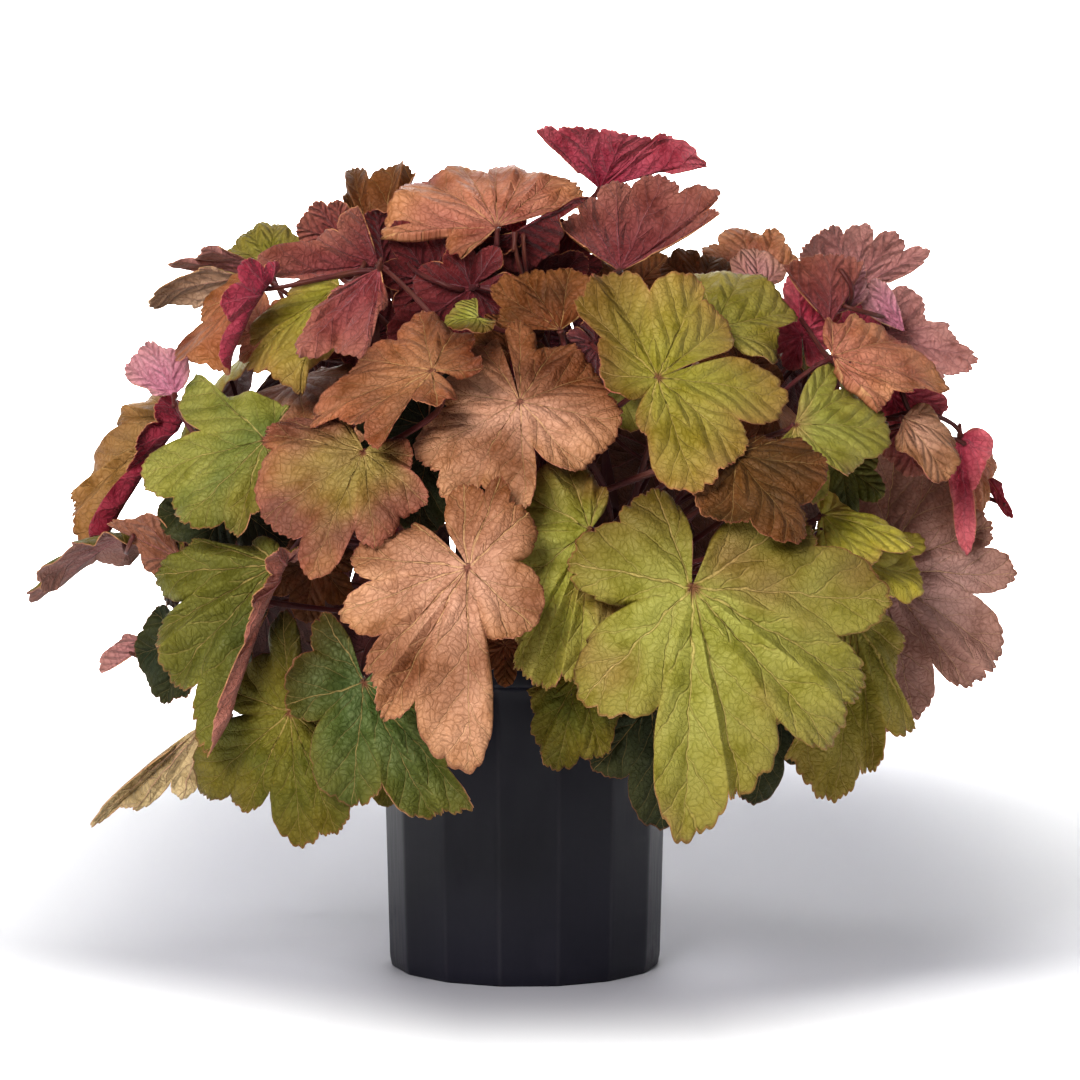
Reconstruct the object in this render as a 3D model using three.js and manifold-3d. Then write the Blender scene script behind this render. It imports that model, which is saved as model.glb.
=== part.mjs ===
// A heuchera in its nursery pot: a faceted black pot full of soil, a woody crown with its leaf stalks, and
// about a hundred lobed leaves. Millimetres, +Z up, the pot's foot centred on the origin, +Y is the back.
import * as THREE from 'three';
import Module from 'manifold-3d';

const wasm = await Module();
wasm.setup();

// ---- sizes ------------------------------------------------------------------------------------------
const POT = { foot: 73.5, heel: 75, heelRise: 5, wall: 79, shoulder: 159, lip: 83.5, top: 172,
  skin: 2, floor: 3, facets: 15, flatness: 1.35, turn: -10 };
const SOIL = { top: 152, roughness: 3, hole: 25, holeFloor: 118 };
const CROWN = { top: 184, root: 14 }; // its height, and how far from its axis the stalks spring
const BLADE = 0.8; // blade thickness
const SMALL_BLADE = 46; // a blade shorter than this has no inner ring of points
// Radius of a stalk at the crown and at the leaf, length of its straight end, and half the room that a
// branch takes.
const STALK = { root: 1.9, tip: 1.3, end: 8, room: 1.8 };
const GAP = 0.35; // left between parts that touch
const CLEAR = 1.8; // least space between the blades of two leaves
const LEAN = { out: 0.4, up: 0.6, low: 150, span: 250 }; // how the leaves that face front turn up and out
const STALK_CLEAR = [1.4, 0.9, 0.5]; // space round a stalk, the widest that can be had

// The front view in which the foliage is laid out: u runs right and v down over a square 1080 to a side.
const VIEW = { x: 8.5, y: -1800, z: 330, tilt: 3.04, scale: 3273, middle: 540 };

// One leaf to an entry, those in front first: the piece it belongs to | its colouring | where its stalk
// meets it in the front view | how far in front of the pot's axis | the way its upper face looks, x y z in
// hundredths | fold of its right and left half | droop of its tip and its base, in degrees | its rim in
// the front view, notch and lobe tip in turn, or the middle lobe's tip and the blade's relative width.
// "=" adds a half that is folded out of sight, as the angle and length of each lobe; "+" runs a line on.
const LEAVES = `
lime_fold   | lime   | 658,378 | 176 | 12 -100 25 | 0 0 | 12 8 | 735,350 795,384 742,415 746,448 717,474
  + 697,491 655,472 645,430 646,392 600,372 600,335 577,298 592,272 608,266 648,291 700,283 704,296 732,312
  + 733,345
tan_curl    | tan    | 735,455 | 186 | 5 -80 55 | 0 0 | 10 8 | 716,452 688,487 700,503 735,512 752,517
  + 803,531 803,499 827,466 815,452 800,430 780,437 765,432 748,438
lime_big    | lime   | 692,587 | 206 | 0 -100 12 | 0 -20 | 10 5 | 692,524 655,479 621,516 574,556 632,600
  + 586,697 660,708 692,838 733,797 746,790 780,718 838,742 850,703 872,680 843,633 893,597 817,545 806,512
  + 712,538
amber_low   | amber  | 468,567 | 210 | -5 -100 12 | 0 0 | 10 5 | 447,545 413,521 388,530 351,556 370,581
  + 338,610 380,635 365,668 376,688 380,715 413,701 465,768 485,636 531,625 518,559 527,510 510,503 500,478
  + 484,491 462,481 448,532
amber_up    | amber  | 432,371 | 178 | -10 -80 60 | 0 0 | 10 8 | 458,372 482,368 470,347 456,321 440,318
  + 420,308 395,333 356,352 335,372 299,402 333,403 348,417 364,420 376,440 403,397 437,405 450,379
amber_mid   | amber  | 520,402 | 182 | 0 -90 40 | 0 0 | 12 8 | 498,330 480,335 474,360 436,390 446,402
  + 416,452 437,466 452,498 480,481 525,499 534,447 575,459 598,447 622,422 610,396 600,366 579,348 560,335
  + 538,340 520,312 505,324
olive_amber | olvamb | 364,452 | 186 | 0 -100 25 | 0 0 | 12 8 | 352,425 335,409 312,418 285,415 270,422
  + 262,431 270,447 260,512 300,533 305,569 352,527 372,541 397,512 424,498 409,469 412,453 372,443
lime_mid    | lime   | 590,530 | 172 | 0 -100 15 | 0 0 | 10 8 | 604,510 604,484 592,468 565,455 545,462
  + 522,490 525,530 506,592 520,645 516,662 530,676 548,681 562,671 580,677 600,654 634,640 626,600 640,575
  + 612,552
green_upl   | green  | 266,440 | 150 | -20 -100 25 | 0 0 | 12 8 | 262,420 287,404 218,392 183,360 197,428
  + 137,467 167,493 184,523 222,521 233,530 252,517 275,505 280,460
green_left  | green  | 278,565 | 160 | -18 -100 10 | 118 0 | 10 5 | 276,548 246,541 218,547 187,536 176,549
  + 146,573 176,600 149,631 158,647 160,680 192,683 204,752 = 40 .30 100 .22 148 .16
green_low   | silver | 364,682 | 172 | 0 -100 10 | 0 0 | 10 5 | 350,640 322,612 312,650 287,705 319,720
  + 350,805 382,785 430,818 442,812 469,808 447,768 462,742 420,712 440,670 395,650
olive_low   | olive  | 290,712 | 152 | -5 -100 8 | 0 0 | 10 5 | 300,650 283,611 268,652 228,690 240,715
  + 188,796 222,797 244,811 268,792 298,846 319,834 335,832 350,800 372,780 345,745 365,700 325,680
lime_right  | lime   | 795,425 | 152 | 15 -100 30 | 0 0 | 12 8 | 800,400 838,362 836,388 858,386 872,393
  + 896,421 872,452 850,472 826,463 815,500 800,480 775,490 770,450
orange_right | orange | 833,357 | 120 | 15 -100 35 | 0 0 | 12 -8 | 826,340 832,317 848,318 862,305 870,318
  + 905,330 918,345 956,378 930,384 910,392 894,390 881,406 862,384 845,378 838,366
lime_r2     | lime   | 822,515 | 138 | 5 -80 55 | 0 0 | 12 8 | 812,495 850,500 868,508 895,511 905,520
  + 921,530 885,545 872,563 845,560 830,575 812,550
lime_r2     | green  | 850,560 | 122 | 20 -60 80 | 0 0 | 0 0 | 925,530 0.55
amber_r     | amber  | 903,418 | 105 | 25 -100 30 | 0 0 | 15 5 | 915,405 935,410 945,420 963,437 962,455
  + 955,474 925,466 905,450 898,435
green_r     | olive  | 850,612 | 132 | 15 -100 10 | 0 0 | 10 5 | 860,590 886,603 895,615 904,650 888,683
  + 920,727 886,731 886,770 868,770 850,800 825,790 806,757 812,735 790,720 815,660
far_right   | redU   | 960,436 |  62 | 10 100 0 | 0 0 | 10 0 | 972,428 990,456 973,492 967,552 953,505
  + 945,474 953,446
dark_r      | magU   | 905,425 |  88 | 0 100 10 | 0 0 | 10 0 | 886,428 879,452 893,463 915,476 930,474
  + 946,475 935,455
mauve_big   | mauve  | 878,570 |  60 | -15 -100 -5 | 0 0 | 10 5 | 880,525 856,500 870,470 900,440 930,465
  + 955,455 968,510 990,526 986,547 1016,575 975,594 1002,655 985,672 975,686 933,664 922,720 900,700
  + 885,740 868,690 850,720 850,640
far_right   | brown  | 972,452 |  30 | 40 -100 0 | 0 0 | 10 0 | 975,438 985,436 992,450 1000,468 991,480
  + 992,500 985,511 981,535 966,530
far_right   | red    | 985,474 |  10 | -30 -100 -30 | 0 0 | 10 0 | 993,478 1004,484 1006,498 1015,518
  + 1000,508 990,490 985,484
brown_r     | tan    | 770,402 | 140 | 30 -100 0 | 0 0 | 10 5 | 752,396 770,398 776,410 777,440 765,455
  + 742,476 742,440 738,420 742,405
lime_back   | lime   | 712,330 | 128 | 10 -80 55 | 0 0 | 12 8 | 690,300 703,263 722,266 745,270 768,279
  + 800,302 780,322 783,341 745,350
brown_mid   | brown  | 560,330 | 112 | -10 -100 10 | 0 0 | 5 5 | 580,315 600,300 590,280 570,268 545,270
  + 520,264 505,268 492,285 500,305 498,318 520,330
brown_mid   | lime   | 478,318 | 138 | 0 -70 70 | 0 0 | 10 0 | 468,300 475,293 455,305 444,318 450,327
  + 487,330 488,318
pink_mid    | pinkU  | 598,345 | 142 | 20 90 30 | 20 20 | 10 0 | 640,392 0.8
olive_mid   | dark   | 428,425 | 140 | 0 -100 10 | 0 0 | 10 5 | 418,540 0.9
dark_low_r  | dark   | 650,705 | 138 | 0 -100 5 | 0 0 | 10 5 | 665,828 0.8
olive_low_m | olive  | 580,672 | 148 | 0 -100 10 | 0 0 | 10 5 | 560,690 528,690 534,715 540,745 541,755
  + 556,771 580,758 602,757 612,745 621,715 610,680
olive_low_m | brown  | 505,645 | 128 | 0 -100 10 | 0 0 | 10 5 | 505,690 0.9
dark_low_r  | dark   | 765,700 | 115 | 0 -100 5 | 0 0 | 10 5 | 765,806 0.75
dark_r2     | dark   | 842,462 | 105 | 10 -100 5 | 0 0 | 10 5 | 850,525 0.9
pink_bl     | tanU   | 206,722 |  92 | 5 95 20 | 0 0 | 10 5 | 170,746 96,816 120,802 138,801 172,780
  + 182,797 205,765
dark_l      | dark   | 190,640 |  88 | -20 -100 0 | 0 0 | 10 5 | 165,605 150,612 140,630 134,655 148,688
  + 160,703 172,699 185,697 195,680
dark_l      | mauveU | 150,643 |  60 | 0 90 30 | 0 0 | 10 5 | 142,638 122,637 113,645 102,671 130,655
pink_l      | pinkU  | 182,560 | 100 | 20 95 20 | 0 0 | 10 5 | 170,525 140,515 125,517 111,522 130,535
  + 143,556 165,575
pink_l      | olive  | 130,532 |  62 | -30 10 90 | 0 0 | 10 5 | 34,576 0.5
olive_l     | dark   | 230,500 | 100 | 0 -100 0 | 0 0 | 10 5 | 175,490 154,515 165,535 200,548 235,540
  + 285,545 285,500
amber_farl  | ambred | 182,418 |  92 | -55 -100 15 | 115 0 | 10 5 | 168,398 129,387 113,403 108,415 117,425
  + 64,478 66,492 62,505 70,517 76,553 = 40 .34 100 .28 148 .20
pink_left   | pinkU  | 175,395 |  62 | 25 95 5 | 0 0 | 10 5 | 186,385 170,348 160,344 150,341 139,352
  + 128,366 132,383 150,387 156,396
mag_left    | magU   | 378,264 |  84 | 0 90 40 | 0 0 | 10 0 | 372,240 358,203 337,228 318,240 308,243
  + 249,271 272,277 300,269 345,262
mag_left    | magU   | 345,245 |  55 | 10 95 20 | 0 0 | 10 0 | 352,215 337,199 328,204 316,200 308,210
  + 298,224 305,245
mag_mid     | magU   | 380,268 | 128 | 30 90 0 | 0 0 | 10 0 | 385,285 380,310 372,340 366,359 335,350
  + 305,356 306,335 316,312 330,303 340,300 355,290
orange_left | orgred | 264,288 |  98 | -75 -100 20 | 112 0 | 10 0 | 250,276 225,275 208,287 192,305 196,316
  + 168,343 186,357 213,364 = 45 .42 100 .34 148 .24
lime_upl    | limamb | 340,287 | 112 | -15 -95 40 | 0 0 | 15 5 | 335,260 303,266 284,292 246,336 262,341
  + 235,353 262,363 288,377 302,362 312,345 345,320
mauve_topl  | mauveU | 262,270 |  48 | 0 60 70 | 0 0 | 10 5 | 245,262 222,243 214,246 203,237 195,252
  + 169,249 178,263 205,269 240,277
mauve_topl  | olvU   | 247,277 |  70 | 0 60 70 | 0 0 | 10 5 | 215,267 200,265 183,270 148,285 167,297
  + 195,301 222,290
lime_top    | lime   | 268,263 |  15 | 5 -95 35 | 0 0 | 0 0 | 240,262 228,244 237,232 248,224 259,221
  + 275,219 287,224 298,234 296,252
orange_top  | orange | 497,227 |  78 | 0 -90 45 | 0 0 | 10 0 | 560,210 587,183 577,175 566,162 549,167
  + 533,143 519,146 495,139 487,158 462,149 443,160 420,165 400,192 381,228 447,223 462,253 480,240
mag_under   | magU   | 515,232 |  62 | 0 70 70 | 0 0 | 5 0 | 560,205 587,190 560,212 530,262 500,250
  + 480,245 488,236
orange_up   | brown  | 378,262 |  22 | -20 -100 0 | 0 0 | 8 0 | 400,200 411,167 405,166 392,158 366,173
  + 341,147 342,175 340,180 350,198 360,225 365,250
mag_top     | magU   | 620,271 |  72 | -10 95 -25 | 0 0 | 5 0 | 585,250 560,228 578,215 580,203 596,198
  + 615,184 631,187 663,179 680,193 716,201 705,214 716,221 650,256
mag_under   | magU   | 545,290 |  66 | 0 60 80 | 10 10 | 10 0 | 430,262 0.8
mag_low     | magU   | 472,288 | 108 | 20 90 20 | 20 20 | 10 0 | 395,335 0.7
mag_crown   | magU   | 600,189 |   0 | 5 85 55 | 0 0 | 5 0 | 586,164 538,125 557,127 579,123 600,128
  + 625,129 654,139 664,134 674,138 708,151 670,160
top_right   | brown  | 700,290 |  35 | 0 -100 25 | 0 0 | 10 0 | 668,275 665,258 675,250 692,245 701,253
  + 714,250 725,252 738,262 735,275
top_right   | orange | 757,285 |  18 | 0 -100 20 | 0 0 | 10 0 | 712,262 706,240 720,238 742,217 764,228
  + 778,221 787,238 800,250 800,262
top_right   | pink   | 758,290 |  60 | 0 -95 10 | 0 0 | 10 0 | 738,278 735,256 741,249 757,245 768,249
  + 784,266 780,282
mauve_tr    | mauveU | 850,292 |  28 | -20 90 30 | 0 0 | 10 0 | 800,262 800,242 815,230 830,223 842,231
  + 868,224 872,238 895,232 904,249 926,247 890,281
mag_tr      | magU   | 830,325 |  85 | 20 95 20 | 0 0 | 10 0 | 812,305 785,264 800,259 832,254 845,257
  + 863,264 838,290
mag_tr      | pinkU  | 830,316 |  90 | 0 95 0 | 0 0 | 10 0 | 827,290 860,263 866,275 868,290 848,310
mag_tr      | pinkU  | 905,332 |  72 | -10 95 10 | 0 0 | 10 0 | 900,310 872,278 866,290 860,300 880,322
mauve_tr    | mauveU | 880,335 |  50 | 0 95 15 | 0 0 | 10 0 | 885,300 905,286 924,300 926,320 934,322
  + 948,324 960,342 976,358 962,372 942,377 930,365
dark_r      | redU   | 888,388 |  76 | 0 90 30 | 0 0 | 10 0 | 944,405 0.9
olive_l     | brown  | 315,560 |  95 | 0 -100 0 | 0 0 | 10 5 | 300,625 1.0
olive_in    | brown  | 412,700 | 150 | 0 -100 0 | 0 0 | 10 5 | 418,742 1.0
olive_in    | olive  | 380,750 | 140 | 0 -100 0 | 0 0 | 10 5 | 385,812 0.8
mag_low     | magU   | 432,282 |  40 | 0 90 30 | 0 0 | 10 0 | 398,222 0.9
orange_right | magU  | 802,335 |  62 | 0 90 20 | 0 0 | 10 0 | 798,268 0.8
top_right   | brown  | 632,292 |  34 | 0 -95 20 | 0 0 | 10 0 | 612,236 1.0
lime_upl    | orange | 268,335 |  62 | -20 -95 10 | 0 0 | 10 0 | 250,290 0.9
`;

// The sides, back and top of the plant, laid out by rule in tiers: how many leaves, height and distance
// from the axis of their stalk ends, how steeply their upper faces look up, their size, and the middle
// and half width of the arc they stand on, in degrees round from the front.
const BACK_TIERS = [
  { count: 10, height: 206, out: 174, pitch: 6, size: 80, round: 180, half: 112 },
  { count: 9, height: 280, out: 164, pitch: 27, size: 84, round: 180, half: 108 },
  { count: 8, height: 342, out: 122, pitch: 48, size: 78, round: 180, half: 120 },
  { count: 5, height: 378, out: 62, pitch: 72, size: 70, round: 180, half: 130 },
  { count: 5, height: 322, out: 108, pitch: 64, size: 60, round: 0, half: 78 },
];
const BACK = { wide: 1.22, pieces: 7 }; // how much wider than deep the dome is

// ---- colours: the face that shows of each colouring -----------------------------------------------------
const COLOURS = {
  lime: 0xa8a848, limamb: 0xb0a050, olive: 0x84763a, olvamb: 0x9c8446, green: 0x6c8040, silver: 0x7c8c64,
  dark: 0x45572f, amber: 0xc08a58, orange: 0xba6e4e, ambred: 0xb87450, orgred: 0xb05c44, brown: 0x7c5a34,
  tan: 0xa07848, tanU: 0xa87c58, pinkU: 0xb46a78, mauveU: 0x94706c, redU: 0x96303c, magU: 0x8c2a44,
  olvU: 0x8c8050, mauve: 0x94706c, red: 0x96303c, pink: 0xb46a78, back: 0x8c8044,
};

// ---- small helpers --------------------------------------------------------------------------------------
const { degToRad: rad, radToDeg: deg, lerp: mix, clamp } = THREE.MathUtils;
const V = (x, y, z) => new THREE.Vector3(x, y, z);
/** A point moved by a distance along a direction. */
const along = (p, way, d) => p.clone().addScaledVector(way, d);

/** A repeatable draw from 0 to 1: the k-th one of the thing with this seed. */
function draw(seed, k) {
  const v = Math.sin(seed * 12.9898 + k * 78.233) * 43758.5453;
  return v - Math.floor(v);
}

/** Closed solid from points and triangles. */
function solid(points, triangles) {
  return new wasm.Manifold(new wasm.Mesh({ numProp: 3,
    vertProperties: new Float32Array(points.flatMap((p) => [p.x, p.y, p.z])),
    triVerts: new Uint32Array(triangles.flat()) }));
}

/** Rings of equal length joined into a closed skin, the first and the last of them capped. */
function skin(rings) {
  const n = rings[0].length, triangles = [];
  for (let k = 0; k + 1 < rings.length; k++)
    for (let i = 0; i < n; i++) {
      const a = k * n + i, b = k * n + (i + 1) % n;
      triangles.push([a, b, b + n], [a, b + n, a + n]);
    }
  const last = (rings.length - 1) * n;
  for (let i = 1; i + 1 < n; i++) triangles.push([0, i + 1, i], [last, last + i, last + i + 1]);
  return solid(rings.flat(), triangles);
}

/** Ring of points round the pot's axis at a height, its radius given for each point. */
function ring(count, z, radiusAt, turn = 0) {
  return Array.from({ length: count }, (_, i) => {
    const a = 2 * Math.PI * i / count + rad(turn), r = radiusAt(i);
    return V(r * Math.sin(a), -r * Math.cos(a), z);
  });
}

/** Three-sided stalk along a path, its radius running from r0 to r1. */
function stalkSolid(path, r0, r1) {
  let side = V(0.3, 0.2, 1);
  return skin(path.map((p, i) => {
    const way = path[Math.min(i + 1, path.length - 1)].clone().sub(path[Math.max(i - 1, 0)]).normalize();
    side = side.clone().addScaledVector(way, -side.dot(way)).normalize();
    const across = way.clone().cross(side), r = mix(r0, r1, i / (path.length - 1));
    return [30, 150, 270].map((a) =>
      along(along(p, side, r * Math.cos(rad(a))), across, r * Math.sin(rad(a))));
  }));
}

// ---- pot: an injection-moulded nursery pot with fifteen flat facets and a plain lip ---------------------
const sides = 2 * POT.facets; // a facet has its corners and its middle
/** One level of the pot: full radius at the corners, less at the middle of each facet by sag. */
const potRing = (radius, z, sag) => ring(sides, z, (i) => radius - (i % 2 ? sag : 0), POT.turn);
const bore = { low: POT.heel - POT.skin, high: POT.wall - POT.skin };
function potSolid() {
  return skin([
    potRing(POT.foot, 0, POT.flatness), potRing(POT.heel, POT.heelRise, POT.flatness),
    potRing(POT.wall, POT.shoulder, POT.flatness), potRing(POT.lip, POT.shoulder + 2, 0),
    potRing(POT.lip, POT.top - 1, 0), potRing(POT.lip - 1, POT.top, 0), potRing(bore.high + 1, POT.top, 0),
    potRing(bore.high, POT.top - 5, POT.flatness), potRing(bore.low, POT.floor, POT.flatness),
  ]);
}

// ---- soil: peat mix that fills the pot, uneven on top, with a plain hole for the crown ------------------
function soilSolid() {
  const low = POT.floor + GAP;
  const wallAt = (z) => mix(bore.low, bore.high, (z - POT.floor) / (POT.top - 5 - POT.floor)) - GAP;
  const rough = (z, k) => ring(sides, z, () => k, POT.turn)
    .map((p, i) => p.setZ(z + SOIL.roughness * (draw(k, i) - 0.5)));
  return skin([
    potRing(wallAt(low), low, POT.flatness), potRing(wallAt(SOIL.top - 2), SOIL.top - 2, POT.flatness),
    rough(SOIL.top, 61), rough(SOIL.top + 1, 43), potRing(SOIL.hole, SOIL.top - 1, 0),
    potRing(SOIL.hole, SOIL.holeFloor, 0),
  ]);
}

// ---- leaves: reading the layout -------------------------------------------------------------------------
const LOBES = [[-148, 0.54], [-101, 0.70], [-51, 0.84], [0, 1], [51, 0.84], [101, 0.70], [148, 0.54]];
const SINUS = [176.5, 0.42]; // angle and depth of the notch where the stalk comes in
const NOTCH = 0.70; // how far out the notches between lobes reach
const LEAST_TURN = 3; // degrees from each notch to the next lobe tip, at least

const EYE = V(VIEW.x, VIEW.y, VIEW.z);
/** Direction in which a position of the front view is seen. */
function sight(u, v) {
  const t = rad(VIEW.tilt), up = VIEW.middle - v;
  return V(u - VIEW.middle, VIEW.scale * Math.cos(t) + up * Math.sin(t),
    up * Math.cos(t) - VIEW.scale * Math.sin(t)).normalize();
}
/** A position of the front view carried onto the plane through at that is square to n. */
function onPlane(u, v, at, n) {
  const ray = sight(u, v);
  return along(EYE, ray, at.clone().sub(EYE).dot(n) / ray.dot(n));
}

/** Ring of an ordinary seven-lobed blade: [angle, distance] of notch and lobe tip in turn. */
function ordinaryRing(seed, size, width) {
  const tips = LOBES.map(([a, r], j) => {
    const angle = rad(a + 5 * (draw(seed, j) - 0.5)), x = Math.cos(angle), y = width * Math.sin(angle);
    return [deg(Math.atan2(y, x)), r * (1 + 0.16 * (draw(seed, 10 + j) - 0.5)) * Math.hypot(x, y) * size];
  });
  const out = [[-SINUS[0], SINUS[1] * size]];
  tips.forEach((tip, j) => {
    out.push(tip);
    const next = tips[j + 1];
    if (next) out.push([(tip[0] + next[0]) / 2,
      NOTCH * (tip[1] + next[1]) / 2 * (1 + 0.2 * (draw(seed, 20 + j) - 0.5))]);
  });
  out.push([SINUS[0], SINUS[1] * size]);
  return out;
}

/** A leaf read from its entry of the layout. */
function frontLeaf(entry, index) {
  const numbers = (s) => s.trim().split(/[\s,]+/).map(Number);
  const [node, look, seat, near, face, fold, bend, rim] = entry.split('|').map((s) => s.trim());
  const push = sight(...numbers(seat)), at = along(EYE, push, (-Number(near) - EYE.y) / push.y);
  const ez = V(...numbers(face)).normalize();
  const rise = clamp((at.z - LEAN.low) / LEAN.span, 0, 1);
  if (ez.y < 0) ez.add(V(LEAN.out * at.x / LEAN.span, 0, LEAN.up * rise));
  ez.normalize();
  const leaf = { node: `leaf_${node}`, look, seed: index + 1, at, ez, push,
    fold: numbers(fold), bend: numbers(bend) };
  const [seen, hidden] = rim.split('=');
  const spots = seen.trim().split(/\s+/).map(numbers);
  if (spots.length === 2) {
    const arm = onPlane(...spots[0], at, ez).sub(at);
    leaf.ex = arm.clone().normalize();
    leaf.size = arm.length();
    leaf.ring = ordinaryRing(leaf.seed, leaf.size, spots[1][0]);
    return leaf;
  }
  const arms = spots.map((s) => onPlane(...s, at, ez).sub(at));
  const tips = arms.filter((_, i) => i % 2);
  const main = hidden ? tips[tips.length - 1] : tips.reduce((a, b) => (b.length() > a.length() ? b : a));
  leaf.ex = main.clone().normalize();
  const ey = ez.clone().cross(leaf.ex);
  // A folded half is seen foreshortened, so its rim is laid out wider.
  const wider = leaf.fold.map((f) => 1 / Math.cos(0.8 * rad(Math.min(Math.abs(f), 60))));
  let before = 0;
  let out = arms.map((arm, i) => {
    const x = arm.dot(leaf.ex), y = arm.dot(ey) * (arm.dot(ey) > 0 ? wider[0] : wider[1]);
    let a = deg(Math.atan2(y, x));
    if (i) a += 360 * Math.round((before - a) / 360);
    before = a;
    return [a, Math.hypot(x, y)];
  });
  // Angles are counted from the main tip, and each is at least a little further from it than the one before.
  const m = arms.indexOf(main), zero = out[m][0], onward = out[out.length - 1][0] < out[0][0] ? -1 : 1;
  out.forEach((q) => (q[0] = onward * (q[0] - zero)));
  for (let i = m + 1; i < out.length; i++) out[i][0] = Math.max(out[i][0], out[i - 1][0] + LEAST_TURN);
  for (let i = m - 1; i >= 0; i--) out[i][0] = Math.min(out[i][0], out[i + 1][0] - LEAST_TURN);
  out.forEach((q) => (q[0] *= onward));
  if (out[out.length - 1][0] < out[0][0]) out = out.reverse();
  leaf.size = Math.max(...out.map((q) => q[1]));
  if (hidden) {
    const extra = numbers(hidden);
    for (let j = 0; j < extra.length; j += 2) {
      const last = out[out.length - 1], r = extra[j + 1] * leaf.size;
      out.push([(last[0] + extra[j]) / 2, NOTCH * (last[1] + r) / 2], [extra[j], r]);
    }
    out.push([176, 0.3 * extra[extra.length - 1] * leaf.size]);
  }
  leaf.ring = out;
  return leaf;
}

/** The leaves at the back, tier over tier, turned and tilted by repeatable draws. */
function backLeaves() {
  const leaves = [];
  for (const tier of BACK_TIERS)
    for (let i = 0; i < tier.count; i++) {
      const seed = 101 + leaves.length, some = (k, span) => span * (draw(seed, k) - 0.5);
      const round = tier.round + tier.half * (2 * (i + 0.5 + some(50, 0.5)) / tier.count - 1);
      const out = V(Math.sin(rad(round)), -Math.cos(rad(round)), 0), pitch = rad(tier.pitch + some(51, 24));
      const ez = out.clone().multiplyScalar(Math.cos(pitch)).setZ(Math.sin(pitch));
      const ex = out.clone().multiplyScalar(Math.sin(pitch)).setZ(-Math.cos(pitch))
        .applyAxisAngle(ez, rad(some(52, 60)));
      const at = out.clone().multiplyScalar(tier.out * (1 + some(53, 0.16))).setZ(tier.height + some(54, 26));
      at.x *= BACK.wide;
      const size = tier.size * (1 + some(55, 0.3)), cup = (k) => -12 + some(k, 20);
      leaves.push({ round, look: 'back', seed, at, ez, ex, size, fold: [cup(56), cup(57)], bend: [24, 10],
        push: V(-out.x, -out.y, -0.25).normalize(), ring: ordinaryRing(seed, size, 0.9 + some(58, 0.2)) });
    }
  leaves.sort((a, b) => (a.round + 360) % 360 - (b.round + 360) % 360);
  leaves.forEach((leaf, i) => (leaf.node = `leaf_back_${1 + Math.floor(i * BACK.pieces / leaves.length)}`));
  return leaves;
}

// ---- leaves: the form of a blade --------------------------------------------------------------------------
/** Distance from stalk to rim at an angle, and how near the angle is to a notch (1) or to a vein (0). */
function reachAt(angle, leaf) {
  const { ring: rim } = leaf, a = clamp(angle, rim[0][0], rim[rim.length - 1][0]);
  let k = 0;
  while (k + 4 < rim.length && a >= rim[k + 2][0]) k += 2;
  const [tipAt, tip] = rim[k + 1], left = a < tipAt, [edgeAt, edge] = rim[left ? k : k + 2];
  const p = Math.min(1, Math.abs(a - tipAt) / Math.max(Math.abs(edgeAt - tipAt), 1e-6));
  const teeth = rim[k + 2][0] - rim[k][0] > 36 ? 5 : 3;
  const turn = ((left ? -p : p) + 1) / 2 * teeth, q = turn - Math.floor(turn) - 0.5;
  const tooth = 1 + 0.06 * (Math.max(1 - 4 * q * q, 0) ** 0.7 - 0.6);
  return [(edge + (tip - edge) * (1 - p * p)) * tooth, p];
}

/** Distance across and up, and lean, of a point y from the midrib on a half folded up over a crease. */
function folded(y, degrees, crease) {
  const a = rad(degrees);
  if (!a) return [y, 0, 0];
  const lean = a * Math.min(y, crease) / crease, rest = Math.max(y - crease, 0);
  return [crease / a * Math.sin(lean) + rest * Math.cos(a),
    crease / a * (1 - Math.cos(lean)) + rest * Math.sin(a), lean];
}

/**
 * Point of a blade's middle surface at an angle from its midrib and a share of the way to its rim: pleated
 * so that the veins lie low, waved towards the rim, folded about the midrib, and bent along it.
 */
function bladePoint(angle, share, leaf) {
  const L = leaf.size, t = rad(angle), [reach, p] = reachAt(angle, leaf), r = reach * share;
  const x = r * Math.cos(t), y = r * Math.sin(t), s = y >= 0 ? 1 : -1;
  const wave = Math.sin(2 * t + 6.28 * draw(leaf.seed, 40))
    + 0.7 * Math.sin(5 * t + 6.28 * draw(leaf.seed, 41));
  const z = 0.07 * r * (p ** 1.5 - 0.45) * Math.min(1, r / (0.25 * L)) + 0.04 * r * r / L * wave;
  const crease = (Math.max(...leaf.fold.map(Math.abs)) > 90 ? 0.12 : 0.30) * L;
  const [across, up, lean] = folded(Math.abs(y), leaf.fold[y >= 0 ? 0 : 1], crease);
  const k = Math.max(rad(leaf.bend[x >= 0 ? 0 : 1]) / L, 1e-9), a = k * x, h = up + z * Math.cos(lean);
  const point = along(leaf.at, leaf.ex, Math.sin(a) / k + h * Math.sin(a));
  point.addScaledVector(leaf.ez.clone().cross(leaf.ex), s * (across - z * Math.sin(lean)));
  return point.addScaledVector(leaf.ez, h * Math.cos(a) - (1 - Math.cos(a)) / k);
}

/** Angles of the rim's points: each notch and lobe tip, and on the larger blades points between them. */
function rimAngles(leaf) {
  const { ring: rim, size, look } = leaf, out = [];
  for (let k = 0; k + 2 < rim.length; k += 2) {
    const [from, tip, to] = [0, 1, 2].map((j) => rim[k + j][0]), wide = to - from > 36;
    let stops = [-1, -0.5, 0.5];
    if (size > 66 && look !== 'back') stops = [-1, -0.55, 0, 0.55];
    if (size > 76 && wide && look !== 'back') stops = [-1, -0.8, -0.4, 0, 0.4, 0.8];
    for (const s of stops) out.push(mix(tip, s < 0 ? from : to, Math.abs(s)));
  }
  return [...out, rim[rim.length - 1][0]];
}

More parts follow.
